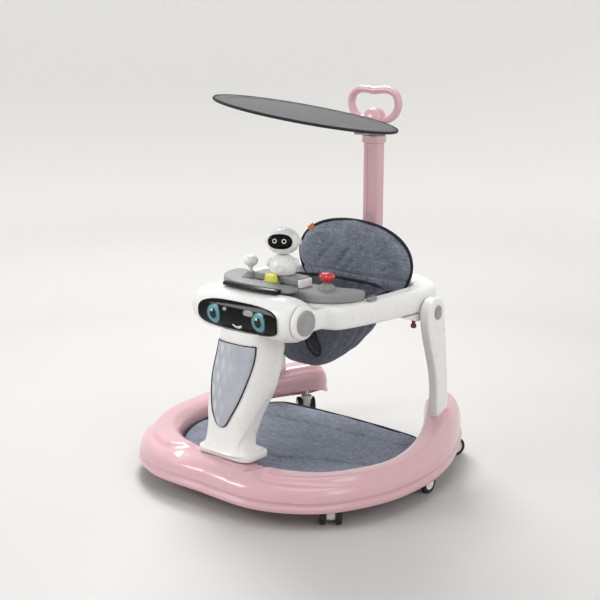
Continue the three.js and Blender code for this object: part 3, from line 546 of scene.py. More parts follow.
def band_sides(width, height, inner_lift, along):
    """The band's outer and inner half profiles, from the crown down, as (across, up) in mm."""
    half = width / 2
    outer = [(0, height), (10, height), (half - 24, 0.93 * height), (half - 12, 0.78 * height),
             (half - 6, 0.58 * height), (half - 3.2, 0.38 * height), (half - 3.4, 20), (half - 5.2, 15),
             (half - 3.2, 11.5), (half - 0.4, 10), (half, 7), (half, 2.5), (half - 1.2, 0)]
    inner = [(0, height), (10, 0.985 * height), (half - 16, 0.93 * height), (half - 6, 0.84 * height),
             (half - 1.8, 0.7 * height), (half - 0.4, 0.55 * height), (half, inner_lift + 12),
             (half, inner_lift + 6), (half, inner_lift + 2.5), (half - 1.2, inner_lift)]
    outer = even(catmull(outer, 64), 34, closed=False)
    inner = even(catmull(inner, 64), 34, closed=False)
    crown = CROWN_LIFT * smoothstep(REAR_STEP, REAR_STEP + 7, along)
    rise = smoothstep(STEP_START, STEP_START + 26, along) * (1 - smoothstep(STEP_END - 180, STEP_END, along))
    edge = 14 - 34 * (1 - smoothstep(STEP_START + 2, STEP_START + 48, along))
    trough = math.exp(-(((along - STEP_START + 14) / 11) ** 2))
    for side, sign in ((outer, 1), (inner, -1)):
        for k in range(len(side)):
            across = sign * side[k][0]
            lifted = rise * (1 - smoothstep(edge - 3.5, edge + 5, across))
            lifted *= smoothstep(-half + 2, -half + 22, across)
            groove = rise * math.exp(-(((across - edge - 9) / 6.0) ** 2))
            hollow = trough * smoothstep(-half + 8, -half + 26, across)
            hollow *= 1 - smoothstep(half - 22, half - 8, across)
            side[k][1] += PANEL_LIFT * lifted - GROOVE_DEPTH * groove - TROUGH_DEPTH * hollow
            side[k][1] += crown * (1 - smoothstep(half - 22, half - 12, abs(across)))
    return outer, inner


def band_ring(x, y, out, ahead, turn, outer, inner, lip):
    """One closed cross-section of the shell. turn swings it round the rear end, 0 to a quarter turn."""
    blend = math.sin(turn) ** 2
    mean = (outer + inner) / 2
    skin = []
    for side, sign in ((outer, 1), (inner, -1)):
        rows = side * (1 - blend) + mean * blend
        skin.append([(sign, a, z) for a, z in rows])
    around = skin[0][::-1] + skin[1][1:]
    reach = max(a for _, a, _ in around)
    crown = max(z for _, _, z in around)
    inside = [(s, a * (reach - SHELL) / reach, z * (crown - SHELL) / crown if z > HEM_HEIGHT else z)
              for s, a, z in around[::-1]]
    ring = []
    for sign, a, z in around + inside:
        px = x + out[0] * sign * a * math.cos(turn) + ahead[0] * a * math.sin(turn)
        py = y + out[1] * sign * a * math.cos(turn) + ahead[1] * a * math.sin(turn)
        ring.append(Vector((px, py, lip + z)) * MM)
    return ring


def base_ring():
    """The U-shaped hollow base, from the front middle out and mirrored."""
    half = catmull(BASE_STATIONS, 110)
    travelled = np.concatenate([[0], np.cumsum(np.hypot(*np.diff(half[:, :2], axis=0).T))])
    rings = []
    for i, (x, y, width, top, lip, lift) in enumerate(half):
        a, b = half[max(i - 1, 0)], half[min(i + 1, len(half) - 1)]
        ahead = np.array([b[0] - a[0], b[1] - a[1]])
        if i == 0:
            ahead = np.array([1.0, 0.0])
        ahead = ahead / np.linalg.norm(ahead)
        out = (ahead[1], -ahead[0])
        outer, inner = band_sides(width, top - lip, lift, travelled[i])
        rings.append(band_ring(x, y, out, ahead, 0.0, outer, inner, lip))
    for turn in np.linspace(0, math.pi / 2, 13)[1:]:
        rings.append(band_ring(x, y, out, ahead, turn, outer, inner, lip))
    mirrored = [[Vector((-p.x, p.y, p.z)) for p in ring] for ring in rings[:0:-1]]
    ring = loft("base_shell", mirrored + rings, PINK, ends="open", sharp=50)
    hand_over(ring, "base", "pink_gloss", "base_ring")


base_ring()


# ---------------------------------------------------------------- soft goods helpers


def slowed(obj, rest, cap):
    """Keeps every point within cap of where it started."""
    co = coords(obj)
    move = co - rest
    size = np.linalg.norm(move, axis=1, keepdims=True)
    set_coords(obj, rest + move * np.minimum(1, cap / np.maximum(size, 1e-9)))


CLOTH_FRAMES = 20


def inflated(obj, voxel, pressure, cap):
    """Fabric by cloth simulation: remesh, blow up a little, keep the result and refine it once."""
    m = obj.modifiers.new("remesh", "REMESH")
    m.mode, m.voxel_size, m.use_smooth_shade = "VOXEL", voxel, True
    apply_all(obj)
    rest = coords(obj)
    cloth = obj.modifiers.new("cloth", "CLOTH")
    s = cloth.settings
    s.quality, s.mass = 5, 0.25
    s.use_pressure, s.uniform_pressure_force = True, pressure
    s.tension_stiffness, s.compression_stiffness, s.bending_stiffness = 12, 8, 0.4
    s.effector_weights.gravity = 0
    cloth.collision_settings.use_collision = False
    cloth.point_cache.frame_start, cloth.point_cache.frame_end = 1, CLOTH_FRAMES
    for k in range(CLOTH_FRAMES):
        bpy.context.scene.frame_set(k + 1)
    apply_all(obj)
    bpy.context.scene.frame_set(1)
    slowed(obj, rest, cap)
    sub = obj.modifiers.new("fine", "SUBSURF")
    sub.levels = sub.render_levels = 1
    apply_all(obj)
    obj.data.shade_smooth()


def filled_out(obj, outline, u, v, centre):
    """Spreads a pad in the plane of axes u and v until its edge meets the outline again."""
    bins = 90
    co = coords(obj)
    across, along = co[:, u] - centre[0], co[:, v] - centre[1]
    angle, reach = np.arctan2(along, across), np.hypot(across, along)
    at = (np.arange(bins) + 0.5) / bins * math.tau - math.pi
    cell = np.minimum(((angle + math.pi) / math.tau * bins).astype(int), bins - 1)
    edge = np.array([reach[cell == k].max() for k in range(bins)])
    edge = (np.roll(edge, 1) + 2 * edge + np.roll(edge, -1)) / 4
    line = np.array(outline) - np.array(centre)
    wanted = np.interp(at, *sorted_by_angle(line), period=math.tau)
    now = np.interp(angle, at, edge, period=math.tau)
    goal = np.interp(angle, at, wanted, period=math.tau)
    factor = 1 + (goal / now - 1) * np.minimum(reach / now, 1) ** 2
    co[:, u], co[:, v] = centre[0] + across * factor, centre[1] + along * factor
    set_coords(obj, co)


def sorted_by_angle(line):
    """A line's points as their directions from the origin, in order, and their distances."""
    angle = np.arctan2(line[:, 1], line[:, 0])
    order = np.argsort(angle)
    return angle[order], np.hypot(line[order, 0], line[order, 1])


def pressed(obj, lines, depth, width):
    """Presses seams in: points near a line move inwards, most of all on the line itself."""
    co = coords(obj)
    near = np.full(len(co), 1e9)
    for line in lines:
        for p in even(line, 60, closed=False):
            near = np.minimum(near, np.linalg.norm(co - p, axis=1))
    pull = depth * np.exp(-((near / width) ** 2))
    set_coords(obj, co - normals(obj) * pull[:, None])


def wrinkled(obj, amount, size, seed):
    """Small soft folds from smooth noise."""
    co = coords(obj)
    shift = Vector((seed, seed * 2.3, seed * 5.1))
    push = np.array([noise.noise(Vector(p) / size + shift) for p in co])
    fine = np.array([noise.noise(Vector(p) / (size * 0.4) - shift) for p in co])
    set_coords(obj, co + normals(obj) * ((push + 0.4 * fine) * amount)[:, None])


def stitches(name, path, length=0.0035, gap=0.0018, radius=0.00045):
    """A row of sewn stitches: short rounded dashes along a path."""
    pts = np.array([tuple(p) for p in path])
    along = np.concatenate([[0], np.cumsum(np.linalg.norm(np.diff(pts, axis=0), axis=1))])
    section = squircle(radius, radius, 2, 6)
    parts = []
    start = 0.0
    while start + length < along[-1]:
        at = np.linspace(start, start + length, 4)
        dash = np.stack([np.interp(at, along, pts[:, k]) for k in range(3)], axis=1)
        parts.append(sweep("stitch", dash, section, THREAD, up=(0.3, 0.2, 1)))
        start += length + gap
    return flat_uv(joined(name, parts), lambda x, y, z: (x + y, z + y))


def piping(name, path, radius, up=(0, 0, 1)):
    """A closed round cord sewn along an edge."""
    piece = sweep(name, path, squircle(radius, radius, 2, 10), PIPING, True, up)
    return flat_uv(piece, lambda x, y, z: (x + y, z + y))


# ---------------------------------------------------------------- foot mat


MAT_CORNER = 134  # where the mat's rear corners begin, in mm


def mat_outline(inset):
    """The mat's outline: along the base's inner edge, drawn in by inset, with round rear corners."""
    rows = catmull(BASE_STATIONS, 60)
    edge = []
    for here, there in zip(rows[:-1], rows[1:]):
        ahead = there[:2] - here[:2]
        ahead = ahead / np.linalg.norm(ahead)
        reach = here[2] / 2 + inset
        x, y = here[0] - ahead[1] * reach, here[1] + ahead[0] * reach
        if y < MAT_CORNER and x >= 0:
            edge.append((x, y))
    x, y = edge[-1]
    corner = catmull([(x, y), (x - 9, y + 22), (x - 21, y + 38), (x - 41, y + 48), (x - 70, y + 52)], 12)
    edge += [tuple(p) for p in corner[1:]] + [(90, y + 56), (0, y + 58)]
    full = edge + [(-x, y) for x, y in reversed(edge) if x > 0.5]
    return [(x * MM, y * MM) for x, y in even(full, 150)]


def foot_mat():
    """The quilted mat, with three seams and its piping."""
    low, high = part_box("foot_mat")
    body = plate("foot_mat_pad", mat_outline(6.5), low.z, high.z - 0.001, 0.0015, DENIM)
    inflated(body, 0.0045, 3.0, 0.006)
    filled_out(body, mat_outline(5.0), 0, 1, (0, -0.02))
    co = coords(body)
    top = high.z + 0.002
    co[:, 2] = np.where(co[:, 2] > top, top + (co[:, 2] - top) * 0.25, np.maximum(co[:, 2], low.z))
    set_coords(body, co)
    front = [(0.03, -0.118), (0.075, -0.095), (0.114, -0.07), (0.16, -0.05), (0.215, -0.025)]
    rear = [(-0.2, 0.072), (-0.126, 0.082), (0.006, 0.096), (0.141, 0.108), (0.2, 0.112)]
    across = [(-0.215, -0.045), (-0.1, -0.07), (0.03, -0.118)]
    lines = [[(x, y, high.z + 0.002) for x, y in row] for row in (front, rear, across)]
    pressed(body, lines, 0.005, 0.0055)
    wrinkled(body, 0.0018, 0.045, 3.0)
    flat_uv(body, lambda x, y, z: (x, y))
    hand_over(body, "base", "denim", "foot_mat")
    for k, row in enumerate((front, rear, across)):
        fine = even([(x, y, high.z + 0.0014) for x, y in row], 40, closed=False)
        hand_over(stitches(f"mat_seam_{k}", fine), "base", "denim")
    path = [(x, y, high.z - 0.0005) for x, y in even(mat_outline(5.5), 200)]
    hand_over(piping("mat_piping", path, 0.0026), "base", "denim")


foot_mat()


# ---------------------------------------------------------------- moulded pieces, from rows of sections


def rounded(low, high, half_u, half_v, top, bottom, steps=5):
    """Rows of height, half width and half depth for a block with rounded rims."""
    rows = []
    for k in range(steps + 1):
        a = math.pi / 2 * k / steps
        inset = bottom * (1 - math.sin(a))
        rows.append((low + bottom * (1 - math.cos(a)), half_u - inset, half_v - inset))
    for k in range(steps + 1):
        a = math.pi / 2 * k / steps
        inset = top * (1 - math.cos(a))
        rows.append((high - top * (1 - math.sin(a)), half_u - inset, half_v - inset))
    return rows


def stack(name, rows, material, power=4.0, x=0.0, y=0.0, count=64, sharp=40):
    """A body through rows of height, half width and half depth, in millimetres."""
    rings = [[Vector((x + px, y + py, z)) * MM for px, py in squircle(u, v, power, count)]
             for z, u, v in rows]
    return loft(name, rings, material, sharp=sharp)


def turned(name, profile, x, y, material, sides=48, sharp=30):
    """A turned piece about an upright line through x, y, in millimetres."""
    return lathe(name, [(r * MM, z * MM) for r, z in profile], (x * MM, y * MM, 0), (0, 0, 1),
                 material, sides, sharp)


def along_x(name, profile, y, z, side, material, sides):
    """A turned piece about a line along X, with its profile's places measured outwards."""
    return lathe(name, [(r * MM, h * MM) for r, h in profile], (0, y * MM, z * MM), (side, 0, 0),
                 material, sides, 30)


def bezier(p0, p1, p2, p3, count):
    """A cubic curve from p0 to p3, as count points."""
    p0, p1, p2, p3 = (np.array(p, float) for p in (p0, p1, p2, p3))
    t = np.linspace(0, 1, count)[:, None]
    return (1 - t) ** 3 * p0 + 3 * (1 - t) ** 2 * t * p1 + 3 * (1 - t) * t**2 * p2 + t**3 * p3


# ---------------------------------------------------------------- front column and face bar

COLUMN_RINGS = [
    (103.5, -222, 66, 38), (112, -219, 59, 37), (130, -213, 54, 37), (155, -204, 55, 42),
    (180, -196, 59, 48), (210, -181, 63, 56), (250, -167, 65, 60), (290, -156, 63, 58),
    (320, -152, 61, 54), (343, -151, 60, 50),
]
COLUMN_FINE = catmull(COLUMN_RINGS, 90)
COLUMN_POWER = 3.2
HEAD_Y, HEAD_Z, HEAD_HALF = -152, 374, 128


def column_front(x, z):
    """The y of the column's front skin, in mm."""
    middle, half_x, half_y = (np.interp(z, COLUMN_FINE[:, 0], COLUMN_FINE[:, k]) for k in (1, 2, 3))
    share = min(abs(x / half_x), 1.0)
    return middle - half_y * (1 - share**COLUMN_POWER) ** (1 / COLUMN_POWER)


def front_column():
    """The white column, with a crease down each side that runs forward as it drops."""
    rings = []
    for z, middle, half_x, half_y in COLUMN_FINE:
        crease = -30 + 62 * smoothstep(112, 275, z)
        strength = 6.0 * smoothstep(104, 116, z) * (1 - smoothstep(262, 306, z))
        ring = []
        for x, y in squircle(half_x, half_y, COLUMN_POWER, 144):
            side = smoothstep(0.5, 0.8, abs(x) / half_x)
            x -= math.copysign(strength * side * smoothstep(crease - 1.5, crease + 4.5, y), x)
            ring.append(Vector((x, y + middle, z)) * MM)
        rings.append(ring)
    column = loft("column_skin", rings, WHITE, sharp=60)
    hand_over(column, "base", "white_gloss", "front_column")
    foot = stack("column_foot", rounded(91.5, 103, 70, 40, 3, 1), WHITE, 5, 0, -212)
    hand_over(foot, "base", "white_gloss", "column_foot_plate")


front_column()


def panel_width():
    """Heights and half widths of the tongue-shaped inlay, from its tip to its straight top."""
    tip = bezier((0.0, 154.5), (5, 154.6), (10, 157), (14, 162), 14)
    side = bezier((14, 162), (42, 205), (56, 268), (50, 318), 60)
    line = np.vstack([tip, side[1:]])
    heights = np.concatenate([154.5 + 7.5 * np.linspace(0, 1, 12) ** 2, np.linspace(164, 318, 60)])
    return [(z, max(float(np.interp(z, line[:, 1], line[:, 0])), 0.6)) for z in heights]


def column_panel():
    """The tongue-shaped inlay on the column's front, and the dark rim round it."""
    rings = []
    for z, half in panel_width():
        front = [(u, 3.0 - 2.3 * abs(u) ** 14) for u in np.linspace(-1, 1, 31)]
        back = [(u, -1.2) for u in np.linspace(1, -1, 31)]
        rings.append([Vector((half * u, column_front(half * u, z) - off, z)) * MM for u, off in front + back])
    inlay = loft("column_inlay", rings, TONGUE, sharp=40)
    hand_over(inlay, "base", "grey_gloss", "column_panel")
    right = [(half + 0.4, z) for z, half in panel_width()]
    top = [(x, 318.4) for x in np.linspace(49, -49, 20)]
    line = right + top + [(-x, z) for x, z in reversed(right)]
    path = [Vector((x, column_front(x, z) - 1.5, z)) * MM for x, z in line]
    rim = sweep("column_inlay_rim", path, squircle(1.5 * MM, 1.5 * MM, 2, 10), BLACK, True, (0, 1, 0.2))
    hand_over(rim, "base", "black_gloss")


column_panel()


FACE_Z = 371


def on_face(u, v, radius, z):
    """A point of the face bar's front at x = u and height z + v, on a skin of that radius."""
    height = z + v - HEAD_Z
    return Vector((u, HEAD_Y - math.sqrt(max(radius**2 - height**2, 1.0)), z + v)) * MM


def inlaid(name, outline, rows, material, x=0.0, z=FACE_Z):
    """A closed piece on the face bar's front. rows are scale and radius, from the back to the middle."""
    rings = [[on_face(x + u * s, v * s, r, z) for u, v in outline] for s, r in rows]
    return loft(name, rings, material, sharp=35)


def face_rows(low, high, lip=1.0):
    """Rows for a lens that lies between two radii, with a rounded lip."""
    back = [(s, low) for s in (0.02, 0.3, 0.6, 0.85)]
    rim = [(1.0, low), (1.0, high - lip), (0.995, high - lip * 0.4), (0.98, high - lip * 0.1)]
    return back + rim + [(s, high) for s in (0.95, 0.8, 0.6, 0.4, 0.2, 0.02)]


def face_bar():
    """The round bar on the column, with rounded ends."""
    ends = [(0, 0), (30, 0), (36, 0.6), (39.5, 2.5), (41.5, 6), (43.5, 14), (45.3, 24), (46, 34)]
    profile = [(r, h - HEAD_HALF) for r, h in ends] + [(r, HEAD_HALF - h) for r, h in reversed(ends)]
    hand_over(along_x("face_bar", profile, HEAD_Y, HEAD_Z, 1, WHITE, 96), "base", "white_gloss", "head_shell")


def eye(name, side):
    """One eye: a black rim, a dark ring, the iris and the pupil, with a glint on it."""
    x = side * 61
    iris = iris_finish(f"iris_{name}", (x * MM, 0, FACE_Z * MM))
    layers = (("eye_rim", squircle(19.4, 21.8, 2.1, 64), face_rows(48.6, 49.9), BLACK, x),
              ("eye_ring", squircle(18.2, 20.6, 2.1, 64), face_rows(48.8, 50.3, 0.6), TEAL_DARK, x),
              ("iris", squircle(16.0, 18.4, 2.1, 64), face_rows(49.5, 50.7, 0.4), iris, x),
              ("pupil", squircle(8.4, 10.6, 2, 48), face_rows(50.0, 51.0, 0.3), BLACK, x - 0.8))
    whole = joined(f"eye_lens_{name}", [inlaid(*layer) for layer in layers])
    hand_over(whole, "base", "teal_gloss", f"eye_{name}")
    spark = inlaid(f"eye_glint_{name}", squircle(2.4, 3.0, 2, 24), face_rows(50.8, 51.4, 0.2), WHITE,
                   x - 4, 378)
    hand_over(spark, "base", "white_gloss")


def face():
    """The visor, the eyes and the smile, inlaid in the bar's front."""
    glass = inlaid("visor_glass", squircle(107, 31, 3.4, 120), face_rows(46.2, 49), VISOR)
    hand_over(glass, "base", "visor_black", "visor")
    for side, name in SIDES:
        eye(name, side)
        # Grey patches on the visor beside the eyes are painted reflections of the lights.
        glint = inlaid(f"visor_painted_reflection_{name}", squircle(9 + 4 * side, 4.5 + side, 3, 40),
                       face_rows(48.7, 49.25, 0.2), GREY_GLOSS, 32 * side, 385)
        hand_over(glint, "base", "grey_gloss")
    crescent = [(13 * math.cos(a), -3 - 9 * math.sin(a)) for a in np.linspace(0.12, math.pi - 0.12, 24)]
    crescent += [(12 * math.cos(a), -3 - 4.6 * math.sin(a)) for a in np.linspace(math.pi - 0.12, 0.12, 24)]
    rings = []
    for radius in (48.7, 49.4, 49.6):
        shrink = 1.0 if radius < 49.5 else 0.96
        rings.append([on_face(u * shrink, v * shrink, radius, 360) for u, v in crescent])
    hand_over(loft("smile_mark", rings, WHITE), "base", "white_gloss", "smile")


face_bar()
face()


# ---------------------------------------------------------------- tray ring

RING_OUTER = [(146, -106), (177, -88), (193, -30), (206, 40), (213, 105), (215, 160), (202, 214), (158, 260),
              (96, 288), (34, 296)]
RING_INNER = [(120, -46), (146, -34), (159, 0), (164, 60), (165, 120), (162, 172), (146, 202), (110, 208),
              (50, 208)]
RING_MIDDLE = (0, 85)
RING_BOTTOM, RING_TOP = 351, 400
HANDLE_Y = 255
# The walls' profiles: how far in from the outline, and the height.
OUTER_WALL = [(10, 351.2), (5, 352), (2, 355), (0.6, 361), (0, 372), (0.3, 384), (1.6, 392), (4, 396.5),
              (8, 399), (13, 400)]
INNER_WALL = [(10, 400), (5, 399), (2, 396), (0.5, 391), (0, 380), (0, 362), (1.5, 355), (5, 351.5)]
# The ears that turn on the face bar and their caps: radius and distance from the middle.
EAR = [(0, 129), (32, 129), (35, 130), (36, 133), (35.6, 137), (33, 140), (27, 141), (0, 141)]
EAR_CAP = [(0, 141.3), (24.5, 141.3), (25.6, 142.2), (25.6, 144.5), (24.6, 146), (22, 146.8), (19.5, 146.5),
           (18.8, 145.9), (18, 146.5), (12, 147.2), (0, 147.5)]
BRIDGE = [(150, -60, 376), (149, -85, 376), (144, -110, 375), (137, -135, 374), (135, -152, 374)]


def around(rows, count):
    """A mirrored outline as one point for each of count directions about the ring's middle."""
    half = [tuple(p) for p in catmull(rows, 80)]
    line = even(half + [(-x, y) for x, y in reversed(half)], 600) - np.array(RING_MIDDLE)
    angle = np.arctan2(line[:, 0], -line[:, 1])
    order = np.argsort(angle)
    reach = np.hypot(line[order, 0], line[order, 1])
    at = np.linspace(-math.pi, math.pi, count, endpoint=False)
    r = np.interp(at, angle[order], reach, period=math.tau)
    return [(RING_MIDDLE[0] + q * math.sin(a), RING_MIDDLE[1] - q * math.cos(a)) for a, q in zip(at, r)]


def tray_ring():
    """The white ring, with its ears on the face bar and a boss for the handle, in one skin."""
    rings = []
    for (ox, oy), (ix, iy) in zip(around(RING_OUTER, 200), around(RING_INNER, 200)):
        outer, inner = Vector((ox, oy, 0)), Vector((ix, iy, 0))
        inward = (inner - outer).normalized()
        ring = [outer + inward * inset + Vector((0, 0, z)) for inset, z in OUTER_WALL]
        ring += [inner - inward * inset + Vector((0, 0, z)) for inset, z in INNER_WALL]
        rings.append([p * MM for p in ring])
    parts = [loft("ring", rings, WHITE, ends="loop")]
    for side in (1, -1):
        parts.append(along_x("ear", EAR, HEAD_Y, HEAD_Z, side, WHITE, 64))
        path = [Vector((side * x, y, z)) * MM for x, y, z in catmull(BRIDGE, 16)]
        parts.append(sweep("bridge", path, squircle(6.5 * MM, 22 * MM, 2.4, 32), WHITE))
    parts.append(stack("boss", rounded(RING_BOTTOM, RING_TOP, 30, 25, 4, 2), WHITE, 4, 0, HANDLE_Y))
    ring = fused(joined("tray_ring_skin", parts), 0.0024, 16)
    cut(ring, stack("bore", [(300, 21.5, 18), (450, 21.5, 18)], WHITE, 5, 0, HANDLE_Y))
    ring.data.materials.clear()
    ring.data.materials.append(WHITE)
    hand_over(ring, "tray", "white_gloss", "tray_ring")
    for side, name in SIDES:
        cap = along_x(f"ear_cap_{name}", EAR_CAP, HEAD_Y, HEAD_Z, side, GREY_GLOSS, 72)
        hand_over(cap, "tray", "grey_gloss", f"head_cap_{name}")


tray_ring()


# ---------------------------------------------------------------- rear legs, brackets and buttons

LEG = {"x": 231, "half": 12, "y": 158, "z": 354, "front": 172, "rear": 212, "foot": 104}
BUTTON = [(0, 319), (3, 319.1), (5, 320), (6.2, 322), (6.2, 326.5), (5, 328.4), (4, 329), (4, 341), (0, 341)]


def leg_outline():
    """The leg's outline in y and z: round at its pivot, then narrowing to a straight foot."""
    arc = [(LEG["y"] + 31 * math.cos(a), LEG["z"] + 31 * math.sin(a)) for a in np.linspace(0, math.pi, 28)]
    front = bezier((127, 354), (127, 294), (164, 244), (168, 182), 26)
    foot = [(LEG["front"], LEG["foot"]), (LEG["rear"], LEG["foot"])]
    rear = bezier(foot[1], (212, 204), (196, 284), (189, 354), 30)
    return [(float(y) * MM, float(z) * MM) for y, z in arc + list(front)[1:] + foot[:1] + list(rear)[:-1]]


def rear_legs():
    """Both rear legs with their pivot caps, and the release buttons under the ring."""
    for side, name in SIDES:
        low, high = sorted((side * (LEG["x"] - LEG["half"]), side * (LEG["x"] + LEG["half"])))
        leg = plate(f"leg_{name}", leg_outline(), low * MM, high * MM, 5 * MM, WHITE, "YZ", 5)
        body = f"rear_leg_{name}"
        hand_over(leg, body, "white_gloss", body)
        face = LEG["x"] + LEG["half"]
        rows = [(1.0, face), (1.0, face + 2.2), (0.97, face + 3.0), (0.9, face + 3.3), (0.3, face + 3.7),
                (0.02, face + 3.8)]
        rings = [[Vector((side * x, 160 + s * u, 354 + s * v)) * MM for u, v in squircle(11.5, 15.5, 2.2, 48)]
                 for s, x in rows]
        hand_over(loft(f"pivot_oval_{name}", rings, GREY_GLOSS), body, "grey_gloss", f"pivot_cap_{name}")
        button = turned(f"button_{name}", BUTTON, side * 203, 130, DARK_RED)
        hand_over(button, f"release_button_{name}", "dark_red_gloss", f"release_button_{name}")


rear_legs()


# ---------------------------------------------------------------- seat

SEAT_SEAM = 0.402
# The creases that rise to one side: their place along the seat, their middle's height, how far they reach
# up and down, and their depth.
CREASES = ((0.021, 0.432, 0.026, 1.0), (-0.004, 0.44, 0.03, 0.8), (0.062, 0.436, 0.03, 0.7),
           (-0.05, 0.425, 0.02, 0.5))


def seat_outline(inset):
    """The seat back's outline in x and z, drawn in by inset."""
    right = list(bezier((118, 368), (142, 376), (160, 412), (157, 440), 30))
    right += list(bezier((157, 440), (152, 490), (92, 522), (0, 522), 40))[1:]
    full = [tuple(p) for p in right] + [(-x, z) for x, z in reversed(right[:-1])]
    line = even(full, 200)
    middle = np.array([0, 440])
    before, after = np.roll(line, 1, axis=0), np.roll(line, -1, axis=0)
    along = (after - before) / np.linalg.norm(after - before, axis=1, keepdims=True)
    inward = np.stack([-along[:, 1], along[:, 0]], axis=1)
    inward *= np.sign(np.sum(inward * (middle - line), axis=1, keepdims=True))
    return line + inward * inset


def surface_y(obj, x, z):
    """Where a line along Y through x, z first meets obj's front."""
    hit, place, _, _ = obj.ray_cast(Vector((x, -1.0, z)), Vector((0, 1, 0)))
    return place.y if hit else None


def bell(values, width):
    """Rises to 1 where the values are 0, and fades within about width of that."""
    return np.exp(-((values / width) ** 2))


def seat_relief(x, z):
    """How deep the seam, the sewn channels below it and the creases above it press into the seat back."""
    channels = sum(bell(x - c, 0.004) for c in (-0.09, -0.045, 0.0, 0.045, 0.09))
    below = np.clip((0.4 - z) / 0.006, 0, 1)
    crease = np.zeros(len(x))
    for offset, level, reach, depth in CREASES:
        lean = x * 0.75 - (z - 0.43) * 0.66 + offset
        crease += depth * bell(lean, 0.0055) * bell(z - level, reach)
    return 0.005 * bell(z - SEAT_SEAM, 0.004) + 0.0045 * channels * below + 0.006 * crease


def seat_back():
    """The padded seat back, with its piping, stitches and a small tag."""
    low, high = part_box("seat_back")
    middle = (low.y + high.y) / 2
    outline = [(x * MM, z * MM) for x, z in seat_outline(5)]
    pad = plate("seat_back_pad", outline, low.y + 0.004, high.y - 0.004, 0.005, DENIM, "XZ")
    inflated(pad, 0.005, 4.0, 0.007)
    filled_out(pad, [(x * MM, z * MM) for x, z in seat_outline(1.5)], 0, 2, (0, 0.435))
    co = coords(pad)
    co[:, 1] += (co[:, 1] < middle) * seat_relief(co[:, 0], co[:, 2])
    set_coords(pad, co)
    wrinkled(pad, 0.0013, 0.05, 11.0)
    flat_uv(pad, lambda x, y, z: (x, z))
    hand_over(pad, "tray", "denim", "seat_back")
    rim = [(x * MM, middle, z * MM) for x, z in seat_outline(1.6)]
    hand_over(piping("seat_back_piping", rim, 0.0034, (0, 1, 0)), "tray", "denim")
    path = []
    for x, z in seat_outline(13) * MM:
        y = surface_y(pad, x, z)
        if y is not None and z > SEAT_SEAM:
            path.append((x, y - 0.0002, z))
    hand_over(stitches("seat_back_stitching", path), "tray", "denim")
    across = [(x, surface_y(pad, x, 0.4065) - 0.0002, 0.4065) for x in np.linspace(-0.128, 0.128, 60)]
    hand_over(stitches("seat_back_seam", across), "tray", "denim")
    tag_at = Vector((-0.118, middle - 0.003, 0.4875))
    tag = plate("seat_tag", [(-0.0095, -0.006), (0.0095, -0.006), (0.0095, 0.0115), (-0.0095, 0.0115)],
                -0.0009, 0.0009, 0.0003, TAG, "XZ")
    flat_uv(tag, lambda x, y, z: (x, z))
    tag.data.transform(Matrix.Translation(tag_at) @ Matrix.Rotation(math.radians(-38), 4, "Y"))
    hand_over(tag, "tray", "denim")


seat_back()

# The hanging seat from its rim to its lowest point: height, middle, half width and half depth.
SLING_RINGS = [
    (392, 62, 152, 102), (372, 61, 149, 100), (352, 60, 146, 97), (316, 57, 134, 88), (279, 51, 106, 74),
    (257, 44, 80, 60), (240, 37, 58, 45), (233, 35, 44, 34), (229, 34, 26, 20), (228, 34, 0.3, 0.3),
]
SLING_POWER, SLING_SIDES = 2.6, 180
SLING_CHANNELS = (-88, -44, 0, 44, 88)
LEG_HOLE = {"x": 0.053, "y": -0.09, "z": 0.292, "wide": 0.0115, "tall": 0.037}
SLING_SHADE_TOP = 0.335  # the inside of the sling is painted near-black up to here, as painted shade


def sling_rings(grow, lift):
    """The sling's skin, wider by grow and higher by lift, with folds and with channels at its rear."""
    rings = []
    for z, y, half_x, half_y in catmull(SLING_RINGS, 54):
        depth = smoothstep(392, 372, z) if z < 392 else 0.0
        ring = []
        outline = squircle(max(half_x + grow, 0.3), max(half_y + grow, 0.3), SLING_POWER, SLING_SIDES)
        for i, (u, v) in enumerate(outline):
            a = i / SLING_SIDES * math.tau
            fold = math.sin(a * 17 + 2.2 * math.sin(a * 3)) * 0.6 + math.sin(a * 31 + 1.1) * 0.4
            amount = 1 - 0.045 * depth * (0.5 + 0.5 * fold) * smoothstep(228, 270, z)
            rear = smoothstep(60, 90, v) * smoothstep(300, 350, z)
            groove = sum(math.exp(-(((u - c) / 5.0) ** 2)) for c in SLING_CHANNELS)
            ring.append(Vector((u * amount, y + v * amount + 4.0 * groove * rear, z + lift)) * MM)
        rings.append(ring)
    return rings


def leg_hole(side, wider=0.0):
    """The outline of one leg opening, in front of the sling, and the way that it is cut."""
    centre = Vector((side * LEG_HOLE["x"], LEG_HOLE["y"], LEG_HOLE["z"]))
    rim = []
    for u, v in squircle(LEG_HOLE["wide"] + wider, LEG_HOLE["tall"] + wider, 2.0, 72):
        rim.append(centre + Vector((u - side * 0.12 * v, -0.106 * v, 0.994 * v)))
    return rim, Vector((side * -0.04, 1, 0.1)).normalized()


